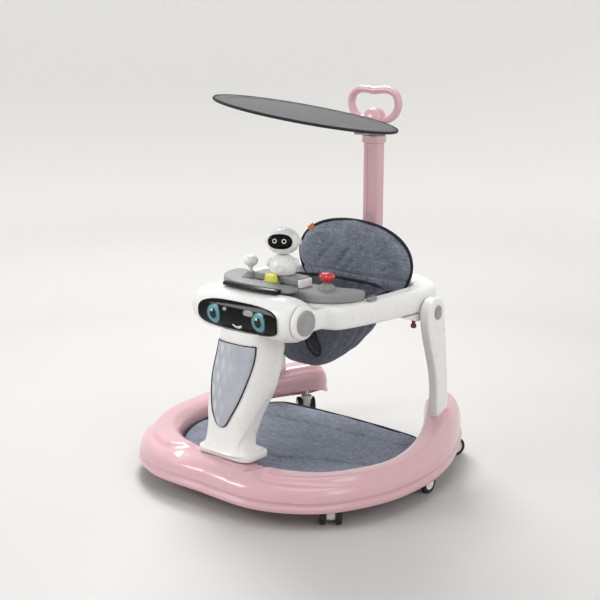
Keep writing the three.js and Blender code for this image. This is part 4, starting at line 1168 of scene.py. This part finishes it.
def seat_sling():
    """The hanging seat, with a slit for each leg and bound edges."""
    shell = sling_rings(0, 0) + sling_rings(-4, 3.6)[::-1]
    sling = loft("sling_cloth", shell, DENIM_DARK, ends="loop", sharp=180)
    for side in (1, -1):
        rim, aim = leg_hole(side)
        cut(sling, loft("hole", [rim, [p + aim * 0.15 for p in rim]], DENIM_DARK))
    # The sling's inner faces low down get the near-black denim: painted shade inside the sling.
    sling.data.materials.append(SLING_INSIDE_SHADE)
    for face in sling.data.polygons:
        inward = Vector((0, 0.055, 0.36)) - face.center
        face.material_index = int(face.normal.dot(inward) > 0 and face.center.z < SLING_SHADE_TOP)
    wrinkled(sling, 0.0018, 0.032, 21.0)
    flat_uv(sling, lambda x, y, z: (math.atan2(x, -(y - 0.057)) * 0.12, z + 0.3 * abs(y)))
    hand_over(sling, "tray", "denim", "seat_sling")
    top = [Vector((x, y + 62, 391.5)) * MM for x, y in squircle(148.6, 98.4, SLING_POWER, 160)]
    hand_over(piping("sling_top_piping", top, 0.0032), "tray", "denim")
    for side in (1, -1):
        rim, aim = leg_hole(side, 0.002)
        hits = [sling.ray_cast(p, aim) for p in rim]
        path = [place for hit, place, _, _ in hits if hit and place.y < 0.01]
        hand_over(piping(f"leg_hole_binding_{side}", path, 0.0028, (0, 1, 0)), "tray", "denim")


seat_sling()


# ---------------------------------------------------------------- play tray and toys

PLAY_TOP = 419
KEY_Y, BLOCK_Y = -93, -58
LEVER_PLACE, KNOB_PLACE = (-92, -54), (106, -42)
# Turned profiles: radius and height.
TOY_DOME = [(0, 419.3), (19, 419.3), (19.2, 420.4), (18.6, 421.6), (17.4, 422.3), (16.6, 423.4), (14.6, 426),
            (11.8, 428.4), (8.6, 430.2), (8.2, 431), (7.2, 431.2), (6.4, 430.4), (5.6, 429.2), (0, 429)]
BALL_LEVER = [(0, 431.5), (4.6, 431.5), (4.3, 434), (3.9, 437), (4.6, 440), (7, 442.6), (11.2, 445.4),
              (14.4, 449.4), (15.9, 453.6), (15.6, 458), (13.6, 462), (10, 465.2), (5.4, 467.1), (0, 467.6)]
LOBED_KNOB = [(5, 431.5), (5.4, 435), (9, 436.5), (12.6, 438.5), (14.9, 442), (15.5, 446), (14.4, 449),
              (11.4, 451.4), (7.4, 452.8), (2.5, 453.4)]


def play_outline():
    """The toy tray's outline: a round front, a short ear at each side and a hollow at its rear."""
    right = [*bezier((96, -101), (140, -98), (178, -60), (178, -14), 20),
             *bezier((178, -14), (178, 4), (150, 6), (136, -4), 12)[1:]]
    middle = bezier((136, -4), (100, -26), (-100, -26), (-136, -4), 36)[1:-1]
    left = [(-x, y) for x, y in reversed(right)]
    return [(x * MM, y * MM) for x, y in (*right, *middle, *left)]


def play_tray():
    """The toy tray's body, with its nose, a rib and a bed with a pocket for the key."""
    deck = plate("tray_deck", play_outline(), 400.4 * MM, PLAY_TOP * MM, 4.5 * MM, GREY, segments=5)
    nose = stack("tray_nose", rounded(421.2, 427.2, 84, 24, 2.5, 1), GREY, 4, 0, -120, 96)
    rib = stack("tray_rib", rounded(413, 425, 75, 6, 3, 1), GREY, 6, 0, -98)
    bed = stack("key_bed", rounded(413, 429, 19, 13, 2.5, 1), GREY, 4, 0, KEY_Y)
    for part in (nose, rib, bed):
        cut(part, stack("key_pocket", [(423.6, 15.6, 10.1), (440, 15.6, 10.1)], GREY, 3.4, 0, KEY_Y))
    hand_over(joined("tray_body", [deck, nose, rib, bed]), "play_tray", "grey_plastic", "play_tray")


def tray_strip():
    """The glossy strip round the nose, with a ridge on it."""
    line = [Vector((x, -158 + 9 * (abs(x) / 76) ** 2.4, 425.6 + 0.8 * (1 - (x / 76) ** 2))) * MM
            for x in np.linspace(-70, 70, 48)]
    strip = sweep("glossy_strip", line, squircle(11 * MM, 4.8 * MM, 3.2, 28), BLACK)
    ridge_line = [p + Vector((0, 0.0005, 0.0042)) for p in line[2:-2]]
    ridge = sweep("strip_ridge", ridge_line, squircle(6.5 * MM, 1.3 * MM, 2.6, 20), BLACK)
    hand_over(joined("strip", [strip, ridge]), "play_tray", "black_gloss", "tray_strip")


def tray_clips():
    """A low clip at each ear of the toy tray."""
    for side, name in SIDES:
        clip = stack(f"clip_{name}", rounded(400.4, 406.4, 7, 14, 2.6, 0.6), GREY, 3, side * 187, 2)
        hand_over(clip, "play_tray", "grey_plastic", f"tray_clip_{name}")


def toy_block():
    """The block under the toy figure, with a white end and a dark seam round it."""
    block = stack("music_block", rounded(419.4, 439, 62, 22, 3.5, 0.8), GREY, 7, 0, BLOCK_Y, 96)
    end = stack("music_block_end", rounded(420, 436.5, 7.5, 19, 2.5, 0.8), WHITE, 6, 59, BLOCK_Y, 48)
    seam = stack("music_block_seam", rounded(424, 425.2, 62.4, 22.4, 0.4, 0.4), BLACK, 7, 0, BLOCK_Y, 96)
    hand_over(joined("music_box", [block, end, seam]), "play_tray", "grey_plastic", "toy_block")


def toy_key():
    """The key, which narrows upwards out of its pocket."""
    rows = [(z, u - 0.12 * (z - 427), v - 0.12 * (z - 427)) for z, u, v in rounded(427, 444, 15, 9.5, 4.2, 1)]
    hand_over(stack("key", rows, YELLOW, 3.4, 0, KEY_Y), "yellow_key", "yellow_gloss", "yellow_key")


def toy_domes():
    """The domes that the lever and the knob stand in."""
    for name, place, replaced in (("lever_base", LEVER_PLACE, "lever_dome"),
                                  ("knob_base", KNOB_PLACE, "red_knob_dome")):
        hand_over(turned(name, TOY_DOME, *place, GREY, 64), "play_tray", "grey_plastic", replaced)


def ball_lever():
    """The ball on its short neck."""
    ball = turned("ball_lever", BALL_LEVER, *LEVER_PLACE, WHITE, 64, 60)
    hand_over(ball, "lever", "white_gloss", "lever_knob")


def lobed_knob():
    """The knob, with eight lobes round its side."""
    x, y = KNOB_PLACE
    rings = []
    for radius, z in LOBED_KNOB:
        lobes = 0.085 * smoothstep(436, 441, z)
        reach = [(a, radius * (1 + lobes * math.cos(8 * a))) for a in circle(96)]
        rings.append([Vector((x + r * math.cos(a), y + r * math.sin(a), z)) * MM for a, r in reach])
    hand_over(loft("lobed_knob", rings, RED, sharp=50), "red_knob", "red_gloss", "red_knob")


for make_piece in (play_tray, tray_strip, tray_clips, toy_block, toy_key, toy_domes, ball_lever, lobed_knob):
    make_piece()


# ---------------------------------------------------------------- toy figure

ROBOT = {"x": 2, "y": -58, "arms": 463, "badge": 455, "neck": 481, "turn": math.radians(27)}
TORSO = [(0, 439.5), (24, 439.5), (26.4, 440.4), (27.6, 442.6), (29, 447.5), (29.2, 454), (28, 461),
         (25.4, 467.5), (21.6, 473), (16, 477.4), (12.6, 479.4), (0, 479.6)]
# Turned about their own axes, in metres: radius and place along the axis.
BADGE = [(0, 0.0242), (0.0085, 0.0242), (0.0088, 0.0282), (0.0068, 0.0298), (0.006, 0.0292), (0, 0.0294)]
ROBOT_EAR = [(0, 0.030), (0.0072, 0.030), (0.0074, 0.0362), (0.006, 0.0378), (0, 0.0382)]
NECK = [(0, -0.0015), (0.008, -0.0015), (0.008, 0.01), (0, 0.01)]
ROBOT_EYE = [(0.003, -0.0008), (0.0046, -0.0008), (0.0048, 0.0004), (0.0041, 0.0008), (0.0032, 0.0005),
             (0.003, -0.0008)]


def on_robot(z):
    """The figure's own place at height z, turned the way it looks."""
    stand = Matrix.Translation(Vector((ROBOT["x"], ROBOT["y"], z)) * MM)
    return stand @ Matrix.Rotation(ROBOT["turn"], 4, "Z")


def ovoid(name, radii, centre, material, power, sides, levels):
    """An egg-like form: radii and centre in mm, squarer with a higher power."""
    rings = []
    for a in np.linspace(-math.pi / 2, math.pi / 2, levels + 1):
        c = max(math.cos(a), 1e-3) ** (2 / power)
        s = math.copysign(abs(math.sin(a)) ** (2 / power), math.sin(a))
        ring = squircle(radii[0] * c, radii[1] * c, power, sides)
        rings.append([(Vector(centre) + Vector((u, v, radii[2] * s))) * MM for u, v in ring])
    return loft(name, rings, material, sharp=80)


def robot_torso():
    """The figure's body, with two arms and a round badge."""
    parts = [turned("torso", TORSO, ROBOT["x"], ROBOT["y"], WHITE, 64, 50)]
    for side in (1, -1):
        arm = ovoid("arm", (6.2, 7, 11), (0, 0, 0), WHITE, 2.2, 32, 16)
        lean = Matrix.Translation(Vector((side * 28.5, 0, 0)) * MM) @ Matrix.Rotation(-side * 0.35, 4, "Y")
        arm.data.transform(on_robot(ROBOT["arms"]) @ lean)
        parts.append(arm)
    aim = (math.sin(ROBOT["turn"]), -math.cos(ROBOT["turn"]), 0)
    centre = Vector((ROBOT["x"], ROBOT["y"], ROBOT["badge"])) * MM
    parts.append(lathe("badge", BADGE, centre, aim, WHITE, 40))
    hand_over(joined("robot_torso", parts), "play_tray", "white_gloss", "robot_body")


def robot_head():
    """The figure's head, made about its neck and then set in place: a skull, ears, a face glass and eyes."""
    skull = ovoid("skull", (34.5, 30.5, 28), (0, 0, 27.5), WHITE, 2.15, 96, 48)
    ears = [lathe("ear", ROBOT_EAR, (0, 0.004, 0.026), (side, 0, 0), WHITE, 40) for side in (1, -1)]
    neck = lathe("neck", NECK, (0, 0, 0), (0, 0, 1), GREY, 32)
    head = joined("robot_skull", [skull, *ears, neck])
    glass = ovoid("face_glass", (26, 7.4, 16), (0, -25.5, 30), VISOR, 2.3, 80, 32)
    for piece, slot, node in ((head, "white_gloss", "robot_head"), (glass, "visor_black", "robot_face")):
        piece.data.transform(on_robot(ROBOT["neck"]))
        hand_over(piece, "robot_head", slot, node)
    for side in (1, -1):
        eye_ring = lathe(f"robot_eye_{side}", ROBOT_EYE, (0, 0, 0), (side * 0.12, -1, 0.12), WHITE, 32)
        place = Matrix.Translation(Vector((side * 10, -32.2, 32)) * MM)
        eye_ring.data.transform(on_robot(ROBOT["neck"]) @ place)
        hand_over(eye_ring, "robot_head", "white_gloss")


robot_torso()
robot_head()


# ---------------------------------------------------------------- push handle

# How far the channel is cut at each height of the post, from 0 to 1.
CHANNEL = ((355, 0), (430, 0), (436, 0.6), (441, 1), (668, 1), (673, 0.6), (679, 0), (686, 0))
HANDLE_DOME = [(724.4, 24, 20), (732, 25, 21), (742, 25, 21), (752, 22.4, 18.6), (759, 17, 14), (763, 9, 7),
               (764.2, 1, 1)]
GRIP_BASE = 736.4
GRIP_HALF = [(0, 0), (22, 0), (42, 5), (57, 17), (64, 36), (58, 56), (41, 66), (20, 67)]


def handle_post():
    """The post: a rounded box with a channel down its front, which fades out at both ends."""
    plain = even(squircle(20, 16.5, 5, 400), 144)
    rings = []
    for z, share in CHANNEL:
        ring = []
        for x, y in plain:
            depth = 3.0 * smoothstep(8.2, 6.2, abs(x)) if y < 0 else 0.0
            ring.append(Vector((x, HANDLE_Y + y + depth * share, z)) * MM)
        rings.append(ring)
    hand_over(loft("handle_post", rings, PINK, sharp=40), "push_handle", "pink_gloss", "handle_column")


def handle_top():
    """The collar on the post, with its neck, and the dome on it."""
    rows = rounded(686.4, 704, 24, 20.5, 4, 2.5) + rounded(704.2, 724, 19, 15.5, 0.5, 0.1, 2)
    collar = stack("collar", rows, PINK, 4, 0, HANDLE_Y)
    hand_over(collar, "push_handle", "pink_gloss", "handle_collar")
    rows = [(z, max(u, 0.3), max(v, 0.3)) for z, u, v in catmull(HANDLE_DOME, 40)]
    dome = stack("dome", rows, PINK, 2.5, 0, HANDLE_Y, 80, sharp=60)
    hand_over(dome, "push_handle", "pink_gloss", "handle_dome")


def handle_grip():
    """The closed loop on the dome, flat at its bottom."""
    loop = GRIP_HALF + [(0, 64.5)] + [(-x, z) for x, z in reversed(GRIP_HALF[1:])]
    path = [Vector((x, HANDLE_Y, GRIP_BASE + z)) * MM for x, z in catmull(loop, 120, closed=True)]
    section = squircle(8.5 * MM, 8.5 * MM, 2.2, 28)
    grip = sweep("d_loop", path, section, PINK, closed=True, up=(0, 1, 0), sharp=80)
    hand_over(grip, "push_handle", "pink_gloss", "handle_grip")


def handle_socket():
    """The bezel on the tray ring that the post slides in."""
    bezel = stack("socket_bezel", rounded(400.4, 416, 27, 23, 3.5, 0.8), WHITE, 4.5, 0, HANDLE_Y)
    hole = stack("hole", [(380, 20.6, 17.1), (430, 20.6, 17.1)], WHITE, 5, 0, HANDLE_Y)
    hand_over(cut(bezel, hole), "tray", "white_gloss", "handle_socket")


for make_piece in (handle_post, handle_top, handle_grip, handle_socket):
    make_piece()


# ---------------------------------------------------------------- sunshade

PIVOT = Vector((0, 217, 713.7))
SHADE_CENTRE = Vector((0, 16, 764))
SHADE_R = 195
SHADE_TILT = Matrix.Rotation(math.radians(-5.7), 4, "X") @ Matrix.Rotation(math.radians(8.4), 4, "Y")
SHADE_SIDES = 160
# The hem's section: radius, and height over the cloth.
HEM = ((166, 0.9), (166.6, 1.5), (172, 1.6), (180, 1.6), (188, 1.5), (191, 0.6), (188, -1.5), (180, -1.6),
       (172, -1.6), (166.6, -1.5), (166, -0.9))
HEM_SEAM, SHADE_RIM = 168.6, 191.5


def on_shade(x, y, z):
    """A point of the sunshade, from its place on the rim's plane and its height over it, in mm."""
    return (SHADE_TILT @ Vector((x, y, z)) + SHADE_CENTRE) * MM


def shade_height(r, a):
    """The cloth's height over the rim plane: crowned over the arm, slack between, with fine pulls."""
    t = r / SHADE_R
    crown = 5.2 * (1 - t**2)
    slack = -1.6 * math.sin(math.pi * t) ** 2 * (0.6 + 0.4 * math.cos(2 * a + 0.6))
    near_rim = smoothstep(0.72, 0.93, t) * (1 - smoothstep(0.95, 1, t))
    pulls = 0.45 * math.sin(26 * a + 3 * math.sin(3 * a)) * near_rim
    return crown + slack + pulls


def shade_ring(r, lift, angles):
    """A ring on the cloth, lift above it."""
    return [on_shade(r * math.cos(a), r * math.sin(a), shade_height(r, a) + lift) for a in angles]


def sunshade():
    """The stretched cloth, its hem, the piping round its rim and the hem's stitches."""
    angles = circle(SHADE_SIDES)
    radii = np.linspace(1.0, SHADE_R - 4, 40)
    upper = [shade_ring(r, 0.6, angles) for r in radii]
    lower = [shade_ring(r, -0.6, angles) for r in reversed(radii)]
    cloth = loft("shade_cloth", upper + lower, SHADE, sharp=180)
    back = SHADE_TILT.inverted()
    flat_uv(cloth, lambda x, y, z: tuple((back @ (Vector((x, y, z)) - SHADE_CENTRE * MM))[:2]))
    hand_over(cloth, "canopy", "shade_fabric", "canopy_panel")
    hem = loft("shade_hem", [shade_ring(r, lift, angles) for r, lift in HEM], SHADE, ends="loop", sharp=60)
    flat_uv(hem, lambda x, y, z: (math.atan2(y - 0.016, x) * 0.19, math.hypot(x, y - 0.016)))
    hand_over(hem, "canopy", "shade_fabric")
    rim = [on_shade(SHADE_RIM * math.cos(a), SHADE_RIM * math.sin(a), 0) for a in angles]
    edge = piping("shade_piping", rim, 0.0031)
    hand_over(edge, "canopy", "shade_fabric")
    line = shade_ring(HEM_SEAM, 1.7, np.linspace(0, math.tau, 300))
    seam = stitches("shade_stitching", line, 0.004, 0.003, 0.0004)
    hand_over(seam, "canopy", "shade_fabric")


sunshade()


# ---------------------------------------------------------------- sunshade arm and clamp

# The beam's middle line, in y and z from the pivot.
BEAM = [(-14, 2), (-24, 7), (-37, 17), (-62, 25), (-97, 30), (-150, 34.5), (-205, 39)]
KNUCKLE = [(0, 7), (6.4, 7), (7.5, 8), (7.5, 11.4), (6.6, 12.2), (3.6, 12.4), (3.2, 11.6), (0, 11.6)]
# The clamp knob's place along X and radius; it is knurled along its straight part.
CLAMP_KNOB = ((25.4, 6.4), (26, 7), (32.4, 7), (33.6, 6.2), (34, 4.6), (33.4, 4.2), (33.2, 0.2))
KNURLED = (26, 32.5)


def at_pivot(name, low, high, half_u, half_v, rim, material, power, x, y, count=64):
    """A rounded block whose heights and y are measured from the sunshade's pivot."""
    rows = [(z + PIVOT.z, u, v) for z, u, v in rounded(low, high, half_u, half_v, rim, rim)]
    return stack(name, rows, material, power, x, PIVOT.y + y, count)


def shade_arm():
    """The beam under the cloth, with a rib below it, its yoke and the pin that it tilts on."""
    path = [(Vector((0, y, z)) + PIVOT) * MM for y, z in catmull(BEAM, 40)]
    beam = sweep("beam", path, squircle(9 * MM, 3.4 * MM, 3, 40), GREY_GLOSS)
    lower = [p - Vector((0, 0, 0.0036)) for p in path[4:-3]]
    rib = sweep("rib", lower, squircle(3 * MM, 1.1 * MM, 2.4, 16), GREY_GLOSS)
    parts = [beam, rib, at_pivot("yoke", -5.5, 7.5, 12, 5, 2, GREY_GLOSS, 4, 0, -18)]
    for side in (1, -1):
        parts.append(at_pivot("cheek", -6.5, 6.5, 2.5, 11, 1.6, GREY_GLOSS, 5, side * 9.5, -8, 32))
        parts.append(along_x("knuckle", KNUCKLE, PIVOT.y, PIVOT.z, side, GREY_GLOSS, 40))
    parts.append(along_x("pin", [(0, -11), (2.9, -11), (2.9, 11), (0, 11)], PIVOT.y, PIVOT.z, 1, STEEL, 24))
    hand_over(joined("shade_beam", parts), "canopy", "grey_gloss", "canopy_arm")


def shade_clamp():
    """The clamp round the post, with the lug that carries the pin."""
    clamp = stack("clamp", rounded(704.4, 723, 25, 22, 3, 2), GREY, 4, 0, HANDLE_Y)
    cut(clamp, stack("bore", [(690, 19.5, 16), (740, 19.5, 16)], GREY, 4, 0, HANDLE_Y))
    lug = at_pivot("lug", -7, 7, 6, 9, 1.5, GREY, 4, 0, 7, 40)
    profile = [(0, -6), (7, -6), (8, -5), (8, 5), (7, 6), (0, 6)]
    knuckle = along_x("eye", profile, PIVOT.y, PIVOT.z, 1, GREY, 40)
    hand_over(joined("clamp_body", [clamp, lug, knuckle]), "push_handle", "grey_plastic", "canopy_clamp")


def clamp_knob():
    """The knurled knob at the clamp's side."""
    rings = []
    for x, radius in CLAMP_KNOB:
        depth = 0.35 if KNURLED[0] <= x <= KNURLED[1] else 0.0
        reach = [(a, radius - depth * (math.cos(20 * a) > 0)) for a in circle(80)]
        rings.append([Vector((x, HANDLE_Y + r * math.cos(a), PIVOT.z + r * math.sin(a))) * MM
                      for a, r in reach])
    hand_over(loft("clamp_knob", rings, BLACK, sharp=30), "push_handle", "black_gloss", "clamp_screw")


for make_piece in (shade_arm, shade_clamp, clamp_knob):
    make_piece()


# ---------------------------------------------------------------- casters

WHEEL_R, CORE_HALF, WHEEL_W = 21, 9, 12
WHEEL_IN = CORE_HALF + 0.8
WHEEL_OUT = WHEEL_IN + WHEEL_W
HUB_R, DIMPLE_CIRCLE = 13.2, 8.4
CASTER_DOME = [(0, 42), (13, 42), (14, 44), (13.6, 48), (12.4, 50), (10, 50.6), (0, 50.6)]
CASTER_STEM = [(0, 46), (4, 46), (4, 70), (3.2, 73), (0, 73)]
# The tyre's closed section: radius, and distance from the caster's middle, with two fine grooves.
TYRE = [(12, WHEEL_IN), (18.6, WHEEL_IN), (20.2, WHEEL_IN + 0.6), (21, WHEEL_IN + 2.2), (21, WHEEL_IN + 5.3),
        (20.55, WHEEL_IN + 5.7), (20.55, WHEEL_IN + 6.3), (21, WHEEL_IN + 6.7), (21, WHEEL_OUT - 2.4),
        (20.3, WHEEL_OUT - 0.8), (18.8, WHEEL_OUT), (14, WHEEL_OUT), (13.1, WHEEL_OUT - 0.7),
        (13.1, WHEEL_OUT - 3), (12, WHEEL_OUT - 3), (12, WHEEL_IN)]
WEB = [(0, WHEEL_IN + 0.4), (13, WHEEL_IN + 0.4), (13, WHEEL_IN + 4), (0, WHEEL_IN + 4)]
AXLE = [(0, -20), (2.8, -20), (2.8, 20), (0, 20)]


def hub_face():
    """A hub disc with a raised middle, a rim and six round dimples."""
    dimples = [(DIMPLE_CIRCLE * math.cos(b), DIMPLE_CIRCLE * math.sin(b)) for b in circle(6)]
    rings = []
    for r in np.linspace(0.2, HUB_R, 22):
        ring = []
        for a in circle(96):
            u, v = r * math.cos(a), r * math.sin(a)
            near = min(math.hypot(u - x, v - z) for x, z in dimples)
            level = WHEEL_OUT - 1.5 + 1.3 * (1 - smoothstep(3.8, 5.0, r)) + smoothstep(11.4, 12.2, r)
            level -= 2.2 * (1 - smoothstep(1.6, 2.2, near))
            ring.append(Vector((u, -level, v)) * MM)
        rings.append(ring)
    rings.append([Vector((HUB_R * math.cos(a), 9 - WHEEL_OUT, HUB_R * math.sin(a))) * MM for a in circle(96)])
    return loft("hub", rings, WHITE, sharp=35)


def along_y(name, profile, side, material, sides):
    """A turned piece about the Y axis, with its profile's places measured outwards."""
    return lathe(name, [(r * MM, h * MM) for r, h in profile], (0, 0, 0), (0, side, 0), material, sides)


def caster_fork(name, trail):
    """The housing between the wheels, with the dome and the stem that it swivels on, heading along X."""
    arc = [(trail + 13 * math.cos(a), WHEEL_R + 13 * math.sin(a)) for a in np.linspace(-2.36, 0.785, 24)]
    shoulder = bezier((21.2, 30.2), (23, 40), (17, 48), (12, 50.2), 10)[1:]
    nape = bezier((-11.5, 50.2), (-13, 46), (-10, 36), (0, 16), 14)[:-1]
    outline = [(x * MM, z * MM) for x, z in (*arc, *shoulder, *nape)]
    body = plate("housing", outline, -CORE_HALF * MM, CORE_HALF * MM, 3 * MM, WHITE, "XZ", 4)
    dome = turned("dome", CASTER_DOME, 0, 0, WHITE)
    stem = turned("stem", CASTER_STEM, 0, 0, STEEL, 24)
    return joined(name, [body, dome, stem])


def caster_wheels(name):
    """The twin wheels on their axle, about its middle."""
    parts = []
    for side in (1, -1):
        parts.append(along_y("tyre", TYRE, -side, RUBBER, 72))
        hub = hub_face()
        if side < 0:
            hub.data.transform(Matrix.Rotation(math.pi, 4, "Z"))
        parts.append(hub)
        parts.append(along_y("web", WEB, -side, GREY, 40))
    parts.append(along_y("axle", AXLE, 1, STEEL, 24))
    return joined(name, parts)


def caster(place):
    """One caster, turned to where its wheels trail in the frame."""
    swivel = Vector(JOINTS[f"swivel_{place}"]["pos_m"])
    axle = Vector(JOINTS[f"roll_{place}"]["pos_m"])
    heading = math.atan2(axle.y - swivel.y, axle.x - swivel.x)
    trail = math.hypot(axle.y - swivel.y, axle.x - swivel.x) / MM
    stand = Matrix.Translation((swivel.x, swivel.y, 0)) @ Matrix.Rotation(heading, 4, "Z")
    fork = caster_fork(f"caster_housing_{place}", trail)
    fork.data.transform(stand)
    hand_over(fork, f"caster_{place}", "white_gloss", f"caster_{place}_fork")
    wheels = caster_wheels(f"caster_tyres_{place}")
    wheels.data.transform(stand @ Matrix.Translation((trail * MM, 0, WHEEL_R * MM)))
    hand_over(wheels, f"wheels_{place}", "wheel_rubber", f"caster_{place}_wheels")


for end in ("front", "mid", "rear"):
    for hand in ("left", "right"):
        caster(f"{end}_{hand}")

for kept, material in (("pivot_rod", STEEL), ("leg_bracket_left", WHITE), ("leg_bracket_right", WHITE)):
    NODES[kept].data.materials.clear()
    NODES[kept].data.materials.append(material)


# ---------------------------------------------------------------- stage, light and camera

# The studio floor's section: radius and height, flat and then curving up into a wall.
FLOOR = [(0.01, 0), (0.5, 0), (1.5, 0), (3.0, 0),
         *((3.0 + 1.6 * math.sin(a), 1.6 * (1 - math.cos(a))) for a in np.linspace(0.1, math.pi / 2, 14)),
         (4.6, 4.0)]


def studio_floor():
    """A floor that curves up into a backdrop far behind, in one sheet."""
    f = Finish("studio_floor", (0.86, 0.855, 0.845), 0.5)
    where = f.place()
    reach = f.add("VectorMath", {0: where}, operation="LENGTH").outputs["Value"]
    # Further out the floor turns paler and glows a little: painted light that brightens the backdrop.
    wall = f.spread(reach, 1.5, 3.6)
    near = f.mix(f.noise(where, 3.0, 3.0), (0.565, 0.555, 0.545, 1), (0.585, 0.575, 0.565, 1))
    f.paint(f.mix(wall, near, (0.84, 0.835, 0.82, 1)))
    f.paint(f.times(wall, 0.12), "Emission Strength")
    f.shader.inputs["Emission Color"].default_value = (1.0, 0.99, 0.97, 1)
    f.bump(f.noise(where, 400.0, 2.0), 0.0001, 0.1)
    rings = [[Vector((radius * math.cos(a), radius * math.sin(a), height)) for a in circle(64)]
             for radius, height in FLOOR]
    loft("studio_floor", rings, f.material, ends="open")


def area_light(name, place, aim, size, power):
    """A square soft light, size metres on a side, that points from place to aim."""
    data = bpy.data.lights.new(name, "AREA")
    data.size = size
    data.energy = power
    light = bpy.data.objects.new(name, data)
    light.location = place
    light.rotation_euler = (Vector(aim) - Vector(place)).to_track_quat("-Z", "Y").to_euler()
    bpy.context.scene.collection.objects.link(light)


def stage():
    """The floor, a pale world and four soft lights."""
    studio_floor()
    world = bpy.data.worlds.new("studio")
    bpy.context.scene.world = world
    world.use_nodes = True
    world.node_tree.nodes["Background"].inputs["Color"].default_value = (0.93, 0.93, 0.925, 1)
    world.node_tree.nodes["Background"].inputs["Strength"].default_value = 0.55
    area_light("key", (-1.2, 1.0, 2.5), (0, 0, 0.3), 0.9, 62)
    area_light("front", (-1.5, -2.1, 1.5), (0, 0, 0.25), 0.8, 19)
    area_light("side", (2.4, -0.6, 1.7), (0, 0, 0.3), 1.2, 11)
    area_light("top", (0.3, -0.2, 2.9), (0, 0, 0.3), 2.0, 18)
    bpy.context.scene.view_settings.view_transform = "Standard"


def camera():
    """A camera in front of the walker, to its left and a little above it."""
    azimuth, elevation, distance = math.radians(40.65), math.radians(12.9), 2.464
    back = Vector((math.sin(azimuth) * math.cos(elevation), -math.cos(azimuth) * math.cos(elevation),
                   math.sin(elevation)))
    data = bpy.data.cameras.new("camera")
    data.lens, data.sensor_width = 70.67, 36
    data.shift_x, data.shift_y = 0.0237, -0.0152
    cam = bpy.data.objects.new("camera", data)
    cam.location = Vector((0, -0.047, 0.40)) + back * distance
    cam.rotation_euler = back.to_track_quat("Z", "Y").to_euler()
    bpy.context.scene.collection.objects.link(cam)
    bpy.context.scene.camera = cam


stage()
camera()
bpy.context.view_layer.update()
